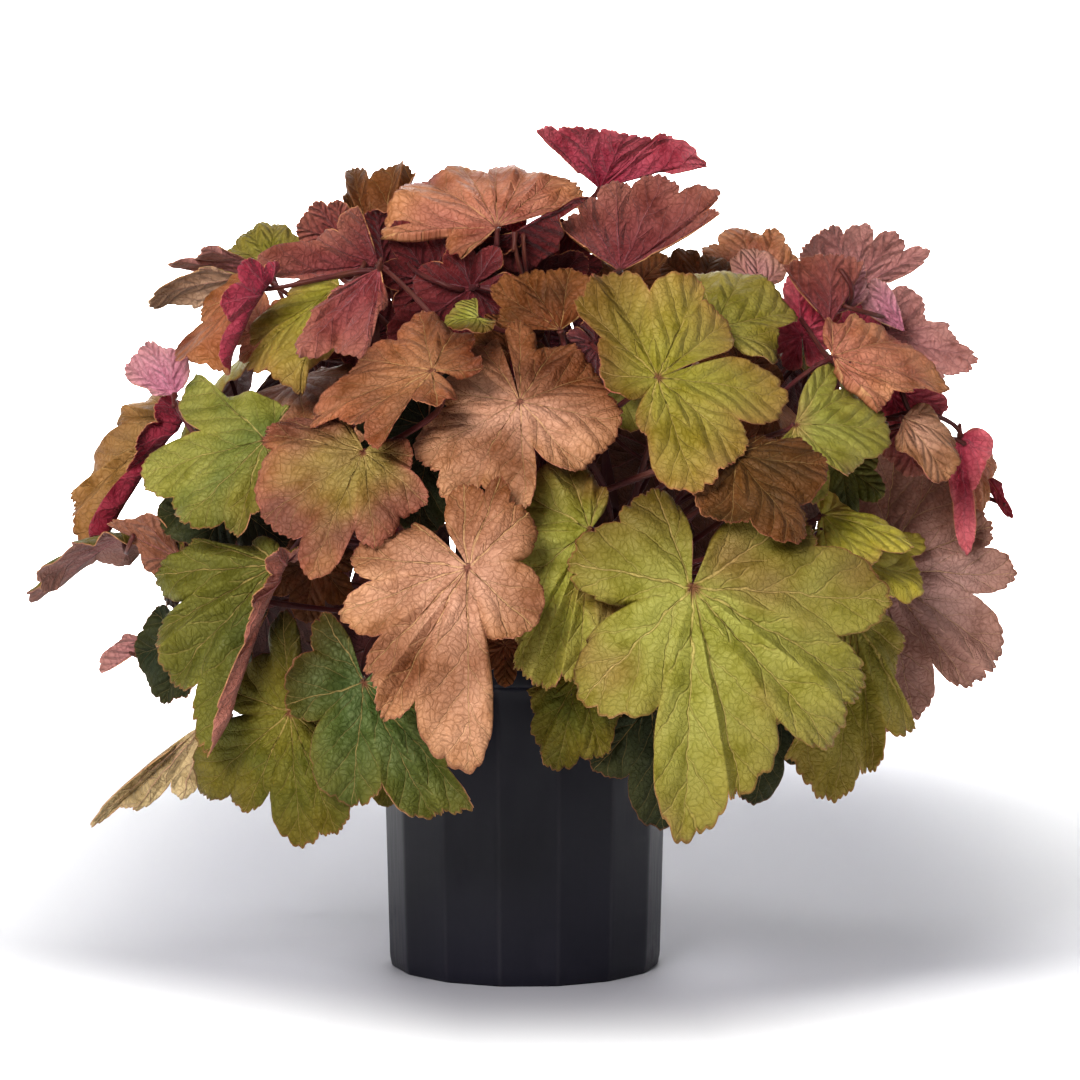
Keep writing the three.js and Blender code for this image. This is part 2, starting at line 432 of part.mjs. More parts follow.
/**
 * A blade's points and triangles: a thin closed skin with the same triangles on both faces. Its sockets are
 * the underside's triangles between two veins at the stalk, those nearest the midrib first.
 */
function bladeMesh(leaf) {
  const rim = rimAngles(leaf), small = leaf.size < SMALL_BLADE || leaf.look === 'back';
  const tips = leaf.ring.filter((_, i) => i % 2).map((q) => q[0]);
  const inner = small ? [] : [rim[0], ...tips, rim[rim.length - 1]];
  const middle = [leaf.at.clone(), ...inner.map((a) => bladePoint(a, 0.52, leaf)),
    ...rim.map((a) => bladePoint(a, 1, leaf))];
  const first = 1 + inner.length, fan = small ? rim : inner, faces = [];
  for (let i = 0; i + 1 < fan.length; i++) faces.push([0, 1 + i, 2 + i]);
  const half = (list, k) => (k + 1 < list.length ? (list[k] + list[k + 1]) / 2 : Infinity);
  for (let i = 0, j = 0; i + 1 < inner.length || j + 1 < rim.length && !small;) {
    if (half(inner, i) < half(rim, j)) faces.push([1 + i, first + j, 1 + ++i]);
    else faces.push([1 + i, first + j, first + ++j]);
  }
  const normals = middle.map(() => V(0, 0, 0));
  for (const face of faces) {
    const [a, b, c] = face.map((i) => middle[i]), normal = b.clone().sub(a).cross(c.clone().sub(a));
    face.forEach((i) => normals[i].add(normal));
  }
  const n = middle.length, shift = (d) => middle.map((p, i) => along(p, normals[i].normalize(), d));
  const points = [...shift(BLADE / 2), ...shift(-BLADE / 2)];
  const triangles = [...faces, ...faces.map(([a, b, c]) => [a + n, c + n, b + n])];
  const edge = [0, ...(small ? [] : [1]), ...rim.map((_, j) => first + j), ...(small ? [] : [inner.length])];
  edge.forEach((a, i) => {
    const b = edge[(i + 1) % edge.length];
    triangles.push([a, a + n, b + n], [a, b + n, b]);
  });
  const sockets = fan.slice(1).map((angle, i) => [Math.abs(angle + fan[i]) / 2, faces.length + i])
    .sort((p, q) => p[0] - q[0]).map(([, face]) => socketIn(points, triangles[face])).filter((s) => s.fits);
  return { points, triangles, sockets };
}

/** The place in an underside triangle, near the stalk, where a branch of a stalk can grow from it. */
function socketIn(points, face) {
  const [a, b, c] = face.map((i) => points[i]);
  const one = b.clone().sub(a).normalize(), two = c.clone().sub(a).normalize();
  const out = one.clone().cross(two).normalize(), axis = one.clone().add(two).normalize();
  const reach = Math.max(1.25 * STALK.tip / Math.sin(one.angleTo(two) / 2), 5);
  // A narrow triangle has no room for one.
  const fits = reach < 0.9 * Math.min(a.distanceTo(b), a.distanceTo(c));
  return { face, out, axis, fits, centre: along(along(a, axis, reach), out, 0.3) };
}

/** Three points round a centre, the first towards a direction, turning left as seen against the way. */
function triangleAt(centre, toward, way, radius) {
  const x = toward.clone().addScaledVector(way, -toward.dot(way)).normalize(), y = way.clone().cross(x);
  return [0, 120, 240].map((a) =>
    along(along(centre, x, radius * Math.cos(rad(a))), y, radius * Math.sin(rad(a))));
}

/**
 * A branch grown between the sockets of two blades: their two triangles open into a three-sided tube that
 * follows the path from one to the other.
 */
function addBranch(mesh, from, to, path) {
  const { points, triangles } = mesh, rings = [];
  for (const face of [from.face, to.face]) triangles.splice(triangles.indexOf(face), 1);
  let toward = from.axis.clone().negate();
  path.forEach((p, i) => {
    const ahead = path[Math.min(i + 1, path.length - 1)], behind = path[Math.max(i - 1, 0)];
    const way = i ? ahead.clone().sub(behind).normalize() : from.out;
    if (i + 1 < path.length) rings.push(triangleAt(p, toward, way, STALK.tip));
    toward = rings[i] ? rings[i][0].clone().sub(p) : toward;
  });
  // The last ring lies in the second blade's socket, turned so that the tube is twisted least.
  const end = triangleAt(path[path.length - 1], to.axis.clone().negate(), to.out, STALK.tip);
  const last = rings[rings.length - 1];
  const spread = (order) => last.reduce((sum, p, i) => sum + p.distanceTo(end[order[i]]), 0);
  const order = [0, 1, 2].map((k) => [k, (k + 2) % 3, (k + 1) % 3])
    .sort((p, q) => spread(p) - spread(q))[0];
  rings.push(order.map((k) => end[k]));
  const base = points.length;
  points.push(...rings.flat());
  const band = (low, high) => low.forEach((a, i) => {
    const j = (i + 1) % 3;
    triangles.push([a, low[j], high[j]], [a, high[j], high[i]]);
  });
  const row = (k) => [0, 1, 2].map((i) => base + 3 * k + i);
  band(from.face, row(0));
  for (let k = 0; k + 1 < rings.length; k++) band(row(k), row(k + 1));
  band(to.face, [0, 1, 2].map((i) => row(rings.length - 1)[order.indexOf(i)]));
}

// ---- setting everything clear of everything else ----------------------------------------------------------
const boxes = new Map();
/** Whether a solid keeps a distance from each of the others. */
function isClear(made, others, distance) {
  const a = made.boundingBox();
  return others.every((other) => {
    if (!boxes.has(other)) boxes.set(other, other.boundingBox());
    const b = boxes.get(other);
    const apart = [0, 1, 2].some((k) => a.min[k] - distance > b.max[k] || b.min[k] - distance > a.max[k]);
    return apart || made.minGap(other, distance + 0.1) >= distance;
  });
}

/** The first path whose stalk keeps its distance, with the widest distance tried on all of them first. */
function firstClear(paths, r0, others, own) {
  for (const distance of STALK_CLEAR)
    for (const path of paths) {
      const made = stalkSolid(path, r0, STALK.tip);
      if (isClear(made, others, distance) && isClear(made, own, GAP - 0.03)) return path;
    }
  return null;
}

const pot = potSolid(), soil = soilSolid();
const stump = [[SOIL.holeFloor + GAP, 1], [SOIL.top - 4, 1], [160, 0.97], [170, 0.86], [CROWN.top, 0.34]];
let crown = skin(stump.map(([z, share]) => ring(POT.facets, z,
  (i) => (SOIL.hole - GAP) * share * (share < 1 ? 1 + 0.1 * (draw(z, i) - 0.5) : 1), POT.turn)));

/** Ways in which a stalk can come up to a blade's underside, from the base of the blade if it can. */
function arrivals(leaf) {
  return [[0.66, 0], [0.66, 45], [0.66, -45], [0.3, 0], [0.9, 0], [0.66, 90], [0.66, -90], [0.3, 180]]
    .map(([tilt, turn]) => leaf.ex.clone().applyAxisAngle(leaf.ez, rad(turn)).multiplyScalar(tilt)
      .addScaledVector(leaf.ez, Math.sqrt(1 - tilt * tilt)));
}
/** The straight end of a leaf's stalk, from just under the blade downwards. */
function stalkEnd(leaf, arrive, length = STALK.end) {
  const top = along(leaf.at, leaf.ez, -BLADE / 2 - GAP - 0.9);
  return [along(top, arrive, -length), top];
}
// Each leaf goes where the layout puts it, or moves along its line of sight until it has room.
const STEP = 3, STEPS = Array.from({ length: 30 }, (_, i) => STEP * (i - 10))
  .sort((a, b) => (a < 0 ? -1.6 * a : a) - (b < 0 ? -1.6 * b : b));
const leaves = [...LEAVES.replace(/\n\s*\+ /g, ' ').trim().split('\n').map(frontLeaf), ...backLeaves()];
const set = [pot, soil, crown];
for (const leaf of leaves) {
  const { points, triangles } = bladeMesh(leaf), blade = solid(points, triangles), ways = arrivals(leaf);
  // Room is kept for the end of the stalk too, a long one if there is room for it.
  const ends = [26, 16, STALK.end].flatMap((length) => ways.map((way) =>
    stalkSolid(stalkEnd(leaf, way, length), STALK.tip, STALK.tip)));
  for (const d of STEPS) {
    const step = leaf.push.clone().multiplyScalar(d).toArray(), moved = blade.translate(step);
    if (!isClear(moved, set, CLEAR)) continue;
    const way = ends.findIndex((end) => isClear(end.translate(step), set, STALK_CLEAR[0]));
    if (way < 0) continue;
    leaf.moved = d;
    leaf.at.addScaledVector(leaf.push, d);
    leaf.arrive = ways[way % ways.length];
    leaf.blade = moved;
    set.push(moved, ends[way].translate(step));
    break;
  }
  // At the back a leaf that has no room anywhere on its way simply didn't grow.
  if (!leaf.blade && leaf.look !== 'back') throw new Error(`no room for a blade of ${leaf.node}`);
}

// ---- stalks -----------------------------------------------------------------------------------------------
/** Smooth path from one point to another that leaves and arrives along given directions. */
function bow(from, leave, to, arrive, pull, steps) {
  const d = from.distanceTo(to);
  return new THREE.CubicBezierCurve3(from, along(from, leave, pull[0] * d),
    along(to, arrive, -pull[1] * d), to).getPoints(steps);
}
const PULLS = [[0.35, 0.35], [0.6, 0.3], [0.3, 0.6], [0.8, 0.2], [0.15, 0.15], [0.7, 0.7], [1, 0.5],
  [0.5, 1]];

const pieces = new Map();
for (const leaf of leaves)
  if (leaf.blade) pieces.set(leaf.node, [...(pieces.get(leaf.node) || []), leaf]);
const bodies = new Map([...pieces].map(([node, own]) => [node, own.map((leaf) => leaf.blade)]));
/** The leaves of every piece but one. */
const besides = (node) => [...bodies].flatMap(([name, list]) => (name === node ? [] : list));

// The first leaf of a piece has a stalk of its own; each other hangs on a branch from the nearest leaf of
// the piece that is already joined.
for (const [node, own] of pieces) {
  const mesh = { points: [], triangles: [] }, joined = [own[0]], rest = own.slice(1);
  own[0].foot = stalkEnd(own[0], own[0].arrive);
  for (const leaf of own) {
    const blade = bladeMesh(leaf), base = mesh.points.length;
    mesh.points.push(...blade.points);
    blade.triangles.forEach((t) => t.forEach((v, i) => (t[i] = v + base)));
    mesh.triangles.push(...blade.triangles);
    leaf.sockets = blade.sockets;
  }
  const kept = stalkSolid([along(own[0].foot[0], own[0].arrive, -STALK.end), own[0].foot[1]],
    STALK.tip, STALK.tip);
  const others = [pot, soil, crown, ...besides(node), kept], grown = [];
  const blades = own.map((leaf) => leaf.blade);
  while (rest.length) {
    const pairs = rest.flatMap((leaf) => joined.map((near) => [near, leaf]))
      .sort((p, q) => p[0].at.distanceTo(p[1].at) - q[0].at.distanceTo(q[1].at));
    let made = null;
    for (const [near, leaf] of pairs) {
      made = branchBetween(near, leaf, others, blades, grown);
      if (!made) continue;
      addBranch(mesh, made.from, made.to, made.path);
      grown.push(stalkSolid(made.path, STALK.room, STALK.room));
      for (const [one, socket] of [[near, made.from], [leaf, made.to]])
        one.sockets.splice(one.sockets.indexOf(socket), 1);
      joined.push(...rest.splice(rest.indexOf(leaf), 1));
      break;
    }
    if (!made) throw new Error(`no way for a branch in ${node}`);
  }
  bodies.set(node, [solid(mesh.points, mesh.triangles)]);
}

/** The sockets and the path of a branch between two leaves that keeps clear of everything. */
function branchBetween(near, leaf, others, blades, grown) {
  const tries = [];
  for (const pull of PULLS)
    for (const lean of [0.3, 0.8])
      for (const from of near.sockets.slice(0, 5))
        for (const to of leaf.sockets.slice(0, 5)) tries.push({ from, to, pull, lean, turn: 0 });
  // Failing the plain ways, wilder ones are drawn at random.
  for (let k = 0; k < 400; k++) {
    const pick = (list, j) => list[Math.floor(draw(leaf.seed + k, j) * list.length)];
    tries.push({ from: pick(near.sockets, 80), to: pick(leaf.sockets, 81), pull: pick(PULLS, 82),
      lean: draw(leaf.seed + k, 83), turn: 360 * draw(leaf.seed + k, 84) });
  }
  for (const distance of STALK_CLEAR)
    for (const { from, to, pull, lean, turn } of tries) {
      const over = to.centre.clone().sub(from.centre);
      const leave = over.clone().projectOnPlane(from.out).normalize().multiplyScalar(lean)
        .applyAxisAngle(from.out, rad(turn)).add(from.out).normalize();
      const arrive = over.clone().projectOnPlane(to.out).normalize().multiplyScalar(lean)
        .applyAxisAngle(to.out, rad(-turn)).sub(to.out).normalize();
      const inner = bow(along(from.centre, from.out, 1.5), leave,
        along(to.centre, to.out, 1.5), arrive, pull, 3);
      const room = stalkSolid(inner, STALK.room, STALK.room);
      const made = stalkSolid(inner, STALK.tip, STALK.tip);
      if (isClear(room, [...others, ...grown], distance) && isClear(made, blades, 0.25))
        return { from, to, path: [from.centre, ...inner, to.centre] };
    }
  return null;
}

// The stalks spring from the crown, or from a stalk already there, and end a hair short of their leaf.
const stalks = [], springs = [];
/** Paths that a stalk could take to a leaf, the plain ones first. */
function waysTo({ at, ez, arrive, seed }) {
  const foot = stalkEnd({ at, ez }, arrive), away = deg(Math.atan2(foot[0].x, -foot[0].y));
  const fromCrown = PULLS.flatMap((pull) => [0, 25, -25, 60, -60, 110, -110].flatMap((turn) =>
    [60, 82, 35].map((rise) => {
      const round = rad(away + turn), out = V(Math.sin(round), -Math.cos(round), 0);
      const root = out.clone().multiplyScalar(CROWN.root).setZ(158 + 18 * draw(seed, 60));
      const leave = out.clone().multiplyScalar(Math.cos(rad(rise))).setZ(Math.sin(rad(rise)));
      return [...bow(root, leave, foot[0], arrive, pull, 4), foot[1]];
    })));
  const close = springs.slice()
    .sort((a, b) => a.p.distanceTo(foot[0]) - b.p.distanceTo(foot[0])).slice(0, 40);
  const fromStalks = close.flatMap(({ p, way }) => PULLS.slice(0, 5).map((pull) =>
    [...bow(p, way, foot[0], arrive, pull, 3), foot[1]]));
  // Failing that, a stalk winds through a point drawn at random between the crown and the leaf.
  const winding = Array.from({ length: 240 }, (_, k) => {
    const some = (j, span) => span * (draw(seed + k, j) - 0.5);
    const round = rad(away + some(70, 160)), out = V(Math.sin(round), -Math.cos(round), 0);
    const root = out.clone().multiplyScalar(CROWN.root).setZ(168);
    const way = root.clone().lerp(foot[0], 0.5 + some(71, 0.5))
      .add(V(some(72, 90), some(73, 90), 15 + some(74, 90)));
    const on = foot[0].clone().sub(root).normalize()
      .add(V(some(75, 1), some(76, 1), some(77, 1))).normalize();
    return [...bow(root, V(out.x * 0.6, out.y * 0.6, 0.8), way, on, PULLS[0], 3).slice(0, -1),
      ...bow(way, on, foot[0], arrive, PULLS[0], 3), foot[1]];
  });
  return [...fromCrown, ...fromStalks, ...winding];
}
const nearest = [...pieces].sort((a, b) => a[1][0].at.length() - b[1][0].at.length());
for (const [node, own] of nearest) {
  const others = [pot, soil, ...besides(node)];
  // Any leaf of the piece can be the one that the stalk bears.
  let path = null;
  for (const leaf of own) path = path || firstClear(waysTo(leaf), STALK.root, others, bodies.get(node));
  if (!path) throw new Error(`no way for the stalk of ${node}`);
  stalks.push(stalkSolid(path, STALK.root, STALK.tip));
  path.slice(1, -1).forEach((p, i) => springs.push({ p, way: path[i + 2].clone().sub(p).normalize() }));
}
// Any hollow sealed in where stalks cross is filled.
crown = wasm.Manifold.union([crown, ...stalks]).decompose().find((piece) => piece.volume() > 0);

// ---- meshes -----------------------------------------------------------------------------------------------
const part = new THREE.Group();
function addMesh(name, made, colour, roughness) {
  const { numProp, vertProperties, triVerts } = made.getMesh();
  const position = new Float32Array(triVerts.length * 3);
  triVerts.forEach((v, i) => position.set(vertProperties.subarray(v * numProp, v * numProp + 3), i * 3));
  const geometry = new THREE.BufferGeometry();
  geometry.setAttribute('position', new THREE.BufferAttribute(position, 3));
  geometry.computeVertexNormals();
  const material = new THREE.MeshStandardMaterial({ color: colour, roughness, metalness: 0 });
  const mesh = new THREE.Mesh(geometry, material);
  mesh.name = name;
  part.add(mesh);
}
addMesh('pot', pot, 0x2d2c34, 0.5);
addMesh('soil', soil, 0x2a1d14, 1);
addMesh('crown', crown, 0x7a3a30, 0.7);
for (const [node, list] of bodies) addMesh(node, list[0], COLOURS[pieces.get(node)[0].look], 0.6);
export default part;
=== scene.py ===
"""A potted heuchera: faceted black nursery pot, peat mix, woody crown with leaf stalks, and lobed leaves."""
import bmesh
import bpy
import numpy as np
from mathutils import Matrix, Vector


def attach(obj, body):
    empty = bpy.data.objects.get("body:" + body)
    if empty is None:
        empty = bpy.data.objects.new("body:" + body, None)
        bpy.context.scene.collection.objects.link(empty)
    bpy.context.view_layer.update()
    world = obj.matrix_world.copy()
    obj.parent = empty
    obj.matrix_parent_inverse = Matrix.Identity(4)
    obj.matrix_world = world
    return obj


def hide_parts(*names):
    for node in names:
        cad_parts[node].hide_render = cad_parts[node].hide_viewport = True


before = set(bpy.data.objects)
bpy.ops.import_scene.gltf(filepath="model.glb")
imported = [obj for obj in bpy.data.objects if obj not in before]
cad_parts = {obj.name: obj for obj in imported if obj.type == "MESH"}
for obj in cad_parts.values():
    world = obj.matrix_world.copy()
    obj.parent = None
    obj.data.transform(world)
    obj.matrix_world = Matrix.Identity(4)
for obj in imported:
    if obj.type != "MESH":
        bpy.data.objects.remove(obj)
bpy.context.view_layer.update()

# ---- pot ---------------------------------------------------------------------------------------------------
# An injection-moulded three-litre nursery pot in black polypropylene. Fifteen nearly flat facets stiffen its
# tapered wall, a plain lip runs round the top, and the base stands on a shallow foot ring.
POT_FACETS, POT_TURN, POT_SAG = 15, -10, 0.93  # number, turn, share of a true flat's depth
POT_CORNER = dict(depth=0.18, spread=0.8)  # how a corner is rounded off, in millimetres and degrees
POT_PROFILE = [  # radius, height, how far the facets show
    (0, 1.2, 0), (30, 1.2, 0), (62, 1.2, 0), (66.5, 1.1, 1), (68, 0.15, 1), (72.9, 0, 1), (73.7, 0.3, 1),
    (74.1, 1.2, 1), (74.9, 5, 1), (75.15, 8, 1), (76.1, 45, 1), (77.05, 82, 1), (78, 120, 1), (78.8, 152, 1),
    (79.0, 157.6, 1), (79.4, 159.2, 0.8), (80.4, 160, 0.4), (82.6, 160.5, 0), (83.3, 161.2, 0),
    (83.5, 162.6, 0), (83.5, 169.6, 0), (83.3, 171, 0), (82.6, 171.8, 0), (81.6, 172, 0), (79.2, 171.8, 0),
    (78.4, 171, 0.1), (77.6, 167.5, 0.7), (76.9, 152, 1), (76.1, 120, 1), (75.2, 82, 1), (74.2, 45, 1),
    (73.2, 8, 1), (72.6, 4.4, 1), (70, 3.1, 1), (40, 3, 0.4), (0, 3, 0)]


def grid_faces(rows, columns, start=0):
    """Quads of a grid that is joined to itself across its last column."""
    i, j = np.meshgrid(np.arange(rows - 1), np.arange(columns), indexing="ij")
    k = (j + 1) % columns
    quad = np.stack([i * columns + j, i * columns + k, (i + 1) * columns + k, (i + 1) * columns + j], -1)
    return start + quad.reshape(-1, 4)


def placed(name, data):
    """New object in the scene, at the origin."""
    made = bpy.data.objects.new(name, data)
    bpy.context.scene.collection.objects.link(made)
    return made


def new_piece(name, points, faces, materials, smooth=None, material_of=None):
    """Mesh object from points in millimetres and rows of vertex numbers, three or four to a face."""
    mesh = bpy.data.meshes.new(name)
    corners = np.concatenate([np.asarray(rows, np.int32).ravel() for rows in faces])
    sizes = np.concatenate([np.full(len(rows), len(rows[0]), np.int32) for rows in faces])
    mesh.vertices.add(len(points))
    mesh.vertices.foreach_set("co", (np.asarray(points, np.float64) / 1000).astype(np.float32).ravel())
    mesh.loops.add(len(corners))
    mesh.loops.foreach_set("vertex_index", corners)
    mesh.polygons.add(len(sizes))
    mesh.polygons.foreach_set("loop_start", np.concatenate([[0], np.cumsum(sizes)[:-1]]).astype(np.int32))
    mesh.polygons.foreach_set("use_smooth", np.ones(len(sizes), bool) if smooth is None else smooth)
    if material_of is not None:
        mesh.polygons.foreach_set("material_index", material_of)
    mesh.update(calc_edges=True)
    mesh.validate()
    for material in materials:
        mesh.materials.append(material)
    piece = placed(name, mesh)
    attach(piece, "root")
    return piece


def lathe(name, profile, around, material, radius_at):
    """
    Closed turned piece: each ring of the profile is carried round the axis at the given angles, at the radius
    worked out there. The first and last rings are single points on the axis.
    """
    radius, angle = radius_at(profile[1:-1], around), np.radians(around)
    rows, columns = radius.shape
    height = profile[1:-1, 1, None] + 0 * angle
    rings = np.stack([radius * np.sin(angle), -radius * np.cos(angle), height], -1)
    points = np.concatenate([[[0, 0, profile[0, 1]]], rings.reshape(-1, 3), [[0, 0, profile[-1, 1]]]])
    j = np.arange(columns)
    k = (j + 1) % columns
    last, top = 1 + (rows - 1) * columns, len(points) - 1
    fans = [np.stack([0 * j, 1 + k, 1 + j], -1), np.stack([top + 0 * j, last + j, last + k], -1)]
    return new_piece(name, points, [grid_faces(rows, columns, 1), np.concatenate(fans)], [material])


def shader(name, roughness, **sockets):
    """New material: its tree, its Principled node, and the plain values set on that node's own sockets."""
    material = bpy.data.materials.new(name)
    material.use_nodes = True
    tree = material.node_tree
    surface = tree.nodes["Principled BSDF"]
    surface.inputs["Roughness"].default_value = roughness
    for socket, value in sockets.items():
        surface.inputs[socket.replace("_", " ")].default_value = value
    return material, tree, surface


def put(tree, kind, inputs=None, **settings):
    """Shader node with its settings, and each input either linked to a socket or given a value."""
    node = tree.nodes.new("ShaderNode" + kind)
    for key, value in settings.items():
        setattr(node, key, value)
    for key, value in (inputs or {}).items():
        if isinstance(value, bpy.types.NodeSocket):
            tree.links.new(value, node.inputs[key])
        else:
            node.inputs[key].default_value = value
    return node


def maths(tree, operation, *terms):
    """Output of a Math node that works on sockets and numbers."""
    return put(tree, "Math", dict(enumerate(terms)), operation=operation).outputs[0]


def times(tree, first, second):
    """Product of two shader values."""
    return maths(tree, "MULTIPLY", first, second)


def plus(tree, first, *others):
    """Sum of shader values."""
    for other in others:
        first = maths(tree, "ADD", first, other)
    return first


def minus(tree, first, second):
    """Difference of two shader values."""
    return maths(tree, "SUBTRACT", first, second)


def noise(tree, vector, scale, detail, roughness=0.5, **settings):
    """Soft cloudy value that wanders from 0 to 1 over a pattern."""
    values = {"Vector": vector, "Scale": scale, "Detail": detail, "Roughness": roughness}
    return put(tree, "TexNoise", values, **settings).outputs["Fac"]


def ramp(tree, value, low, high, start=0.0, end=1.0):
    """Value carried smoothly from start to end as it goes from low to high."""
    return put(tree, "MapRange", {0: value, 1: low, 2: high, 3: start, 4: end},
               interpolation_type="SMOOTHSTEP").outputs[0]


def blend(tree, share, first, second):
    """Colour mixed from two colours by a share."""
    first, second = [c if isinstance(c, bpy.types.NodeSocket) else (*c, 1) for c in (first, second)]
    return put(tree, "Mix", {0: share, 6: first, 7: second}, data_type="RGBA").outputs[2]


def wire(tree, surface, colour, height, depth, strength, roughness=None):
    """Colour, bump height and, if given, roughness joined to a material's Principled node."""
    tree.links.new(colour, surface.inputs["Base Color"])
    if roughness is not None:
        tree.links.new(roughness, surface.inputs["Roughness"])
    bump = put(tree, "Bump", {"Height": height, "Distance": depth, "Strength": strength})
    tree.links.new(bump.outputs[0], surface.inputs["Normal"])


def linear(red, green, blue):
    """Linear colour from red, green and blue of 0 to 255, as a paint chart gives them."""
    c = np.array([red, green, blue]) / 255
    return np.where(c <= 0.04045, c / 12.92, ((c + 0.055) / 1.055) ** 2.4)


# Fine dust and handling scuffs lie over the plastic, and faint upright flow lines run through it.
black_plastic, tree, surface = shader("black_plastic", 0.42, Specular_IOR_Level=0.27)
place = put(tree, "TexCoord").outputs["Object"]
upright = put(tree, "Mapping", {"Vector": place, "Scale": (1, 1, 0.06)}).outputs[0]
flow = noise(tree, upright, 420, 3)
scuff = noise(tree, place, 38, 6, 0.65)
grain = noise(tree, place, 1600, 2)
dust = ramp(tree, scuff, 0.48, 0.8)
shade = blend(tree, times(tree, dust, 0.35), linear(26, 25, 35), linear(42, 40, 50))
shade = blend(tree, ramp(tree, flow, 0.35, 0.7, 0, 0.3), shade, linear(31, 30, 40))
# A painted highlight runs down each corner between the facets, a little paler, broken up by the scuffs.
along, deep, _ = put(tree, "SeparateXYZ", {0: place}).outputs
turned = maths(tree, "DEGREES", maths(tree, "ARCTAN2", along, times(tree, deep, -1.0)))
halfway = 180 / POT_FACETS  # degrees from a corner to the middle of a facet
past_middle = minus(tree, turned, POT_TURN - 360 - halfway)
beat = maths(tree, "FRACT", maths(tree, "DIVIDE", past_middle, 2 * halfway))
from_corner = maths(tree, "ABSOLUTE", minus(tree, beat, 0.5))
corner_highlight = times(tree, ramp(tree, from_corner, 0.0, 0.06, 0.5, 0), ramp(tree, scuff, 0.3, 0.6, 0.5, 1))
shade = blend(tree, corner_highlight, shade, linear(46, 44, 50))
rough = plus(tree, ramp(tree, flow, 0.3, 0.7, 0.36, 0.44), times(tree, dust, 0.16))
height = plus(tree, times(tree, flow, 0.5), times(tree, grain, 0.35))
wire(tree, surface, shade, height, 0.00012, 0.5, rough)


def pot_radius(profile, around):
    """Radius round the pot: full at the softly rounded corners, and less by a flat's depth between them."""
    off = np.abs((around - POT_TURN + halfway) % (2 * halfway) - halfway)  # degrees from the nearest corner
    flat = 1 - np.cos(np.radians(halfway)) / np.cos(np.radians(halfway - off))
    radius, shown = profile[:, 0, None], profile[:, 2, None]
    rounding_off = POT_CORNER["depth"] * np.exp(-(off / POT_CORNER["spread"]) ** 2)
    return radius * (1 - shown * POT_SAG * flat) - shown * rounding_off


past_corner = np.array([-11.2, -8.4, -5.6, -3.2, -1.8, -0.9, 0, 0.9, 1.8, 3.2, 5.6, 8.4])  # degrees
pot_around = np.concatenate([POT_TURN + 2 * halfway * n + past_corner for n in range(POT_FACETS)])
pot = lathe("nursery_pot", np.array(POT_PROFILE, float), pot_around, black_plastic, pot_radius)
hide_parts("pot")

# ---- soil --------------------------------------------------------------------------------------------------
# Peat mix pressed round the roots and left a little below the lip. Its top is crumbly and uneven, with fine
# bark and a few pale grains of perlite in it.
SOIL_BASE, SOIL_TOP, CROWN_SEAT = 3.35, 152, 118  # heights: underside, top, floor of the crown's hole
SOIL_WALL, SOIL_HOLE = 76.2, 25  # radii: just inside the pot's wall, and of that hole
CRUMB, FINE_CRUMB = 19, 6  # lengths of the waves on the top
CRUMB_LOW, CRUMB_HIGH = -1.2, 2.2  # how far its points may sink and rise
WAVE = 6.28  # radians in a whole wave, near enough
CROSSED = [(0.3, 1), (1.7, 0.83), (2.9, 0.61), (4.1, 0.47), (5.6, 0.35), (0.9, 0.27)]  # direction, length


def crumble(x, y, size):
    """Uneven height: a sum of crossed sine waves of several lengths, near one size in millimetres."""
    return sum(np.sin((x * np.cos(a) + y * np.sin(a)) * WAVE / (size * s) + 7 * a) / (2 + k)
               for k, (a, s) in enumerate(CROSSED))


def points_of(mesh):
    """A mesh's points in millimetres."""
    co = np.empty(3 * len(mesh.vertices), np.float32)
    mesh.vertices.foreach_get("co", co)
    return co.reshape(-1, 3).astype(float) * 1000


peat, tree, surface = shader("peat_mix", 0.95, Specular_IOR_Level=0.2)
place = put(tree, "TexCoord").outputs["Object"]
clods = noise(tree, place, 140, 8, 0.7)
chips = put(tree, "TexVoronoi", {"Vector": place, "Scale": 260}, feature="F1")
shade = blend(tree, ramp(tree, clods, 0.3, 0.75), linear(28, 20, 15), linear(74, 54, 38))
chance = put(tree, "SeparateColor", {0: chips.outputs["Color"]}).outputs[0]
perlite = maths(tree, "GREATER_THAN", chance, 0.965)
shade = blend(tree, times(tree, perlite, 0.8), shade, linear(200, 194, 180))
height = plus(tree, clods, times(tree, chips.outputs["Distance"], -0.6))
wire(tree, surface, shade, height, 0.002, 0.9)

# Radius, height, and 1 where the soil follows the pot's facets.
soil_rings = np.concatenate([np.linspace(SOIL_WALL, SOIL_HOLE, 40)[1:], [SOIL_HOLE - 0.1, SOIL_HOLE - 0.2]])
soil_profile = np.array(
    [(0, SOIL_BASE, 0), (40, SOIL_BASE, 1), (71.5, SOIL_BASE, 1), (72.6, 6, 1), (SOIL_WALL, SOIL_TOP - 2, 1)]
    + [(r, SOIL_TOP, 0) for r in soil_rings]
    + [(SOIL_HOLE - 0.3, CROWN_SEAT + 1, 0), (0, CROWN_SEAT, 0)], float)
soil = lathe("potting_soil", soil_profile, np.arange(0, 360, 2.0), peat,
             lambda p, a: np.where(p[:, 2:3] == 1, pot_radius(p, a), p[:, 0, None] + 0 * a))
co = points_of(soil.data)
lift = 0.7 * crumble(co[:, 0], co[:, 1], CRUMB) + 0.5 * crumble(co[:, 1] + 40, co[:, 0], FINE_CRUMB) + 0.5
co[:, 2] += np.where(co[:, 2] > SOIL_TOP - 0.5, np.clip(lift, CRUMB_LOW, CRUMB_HIGH), 0)
soil.data.vertices.foreach_set("co", (co / 1000).astype(np.float32).ravel())
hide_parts("soil")

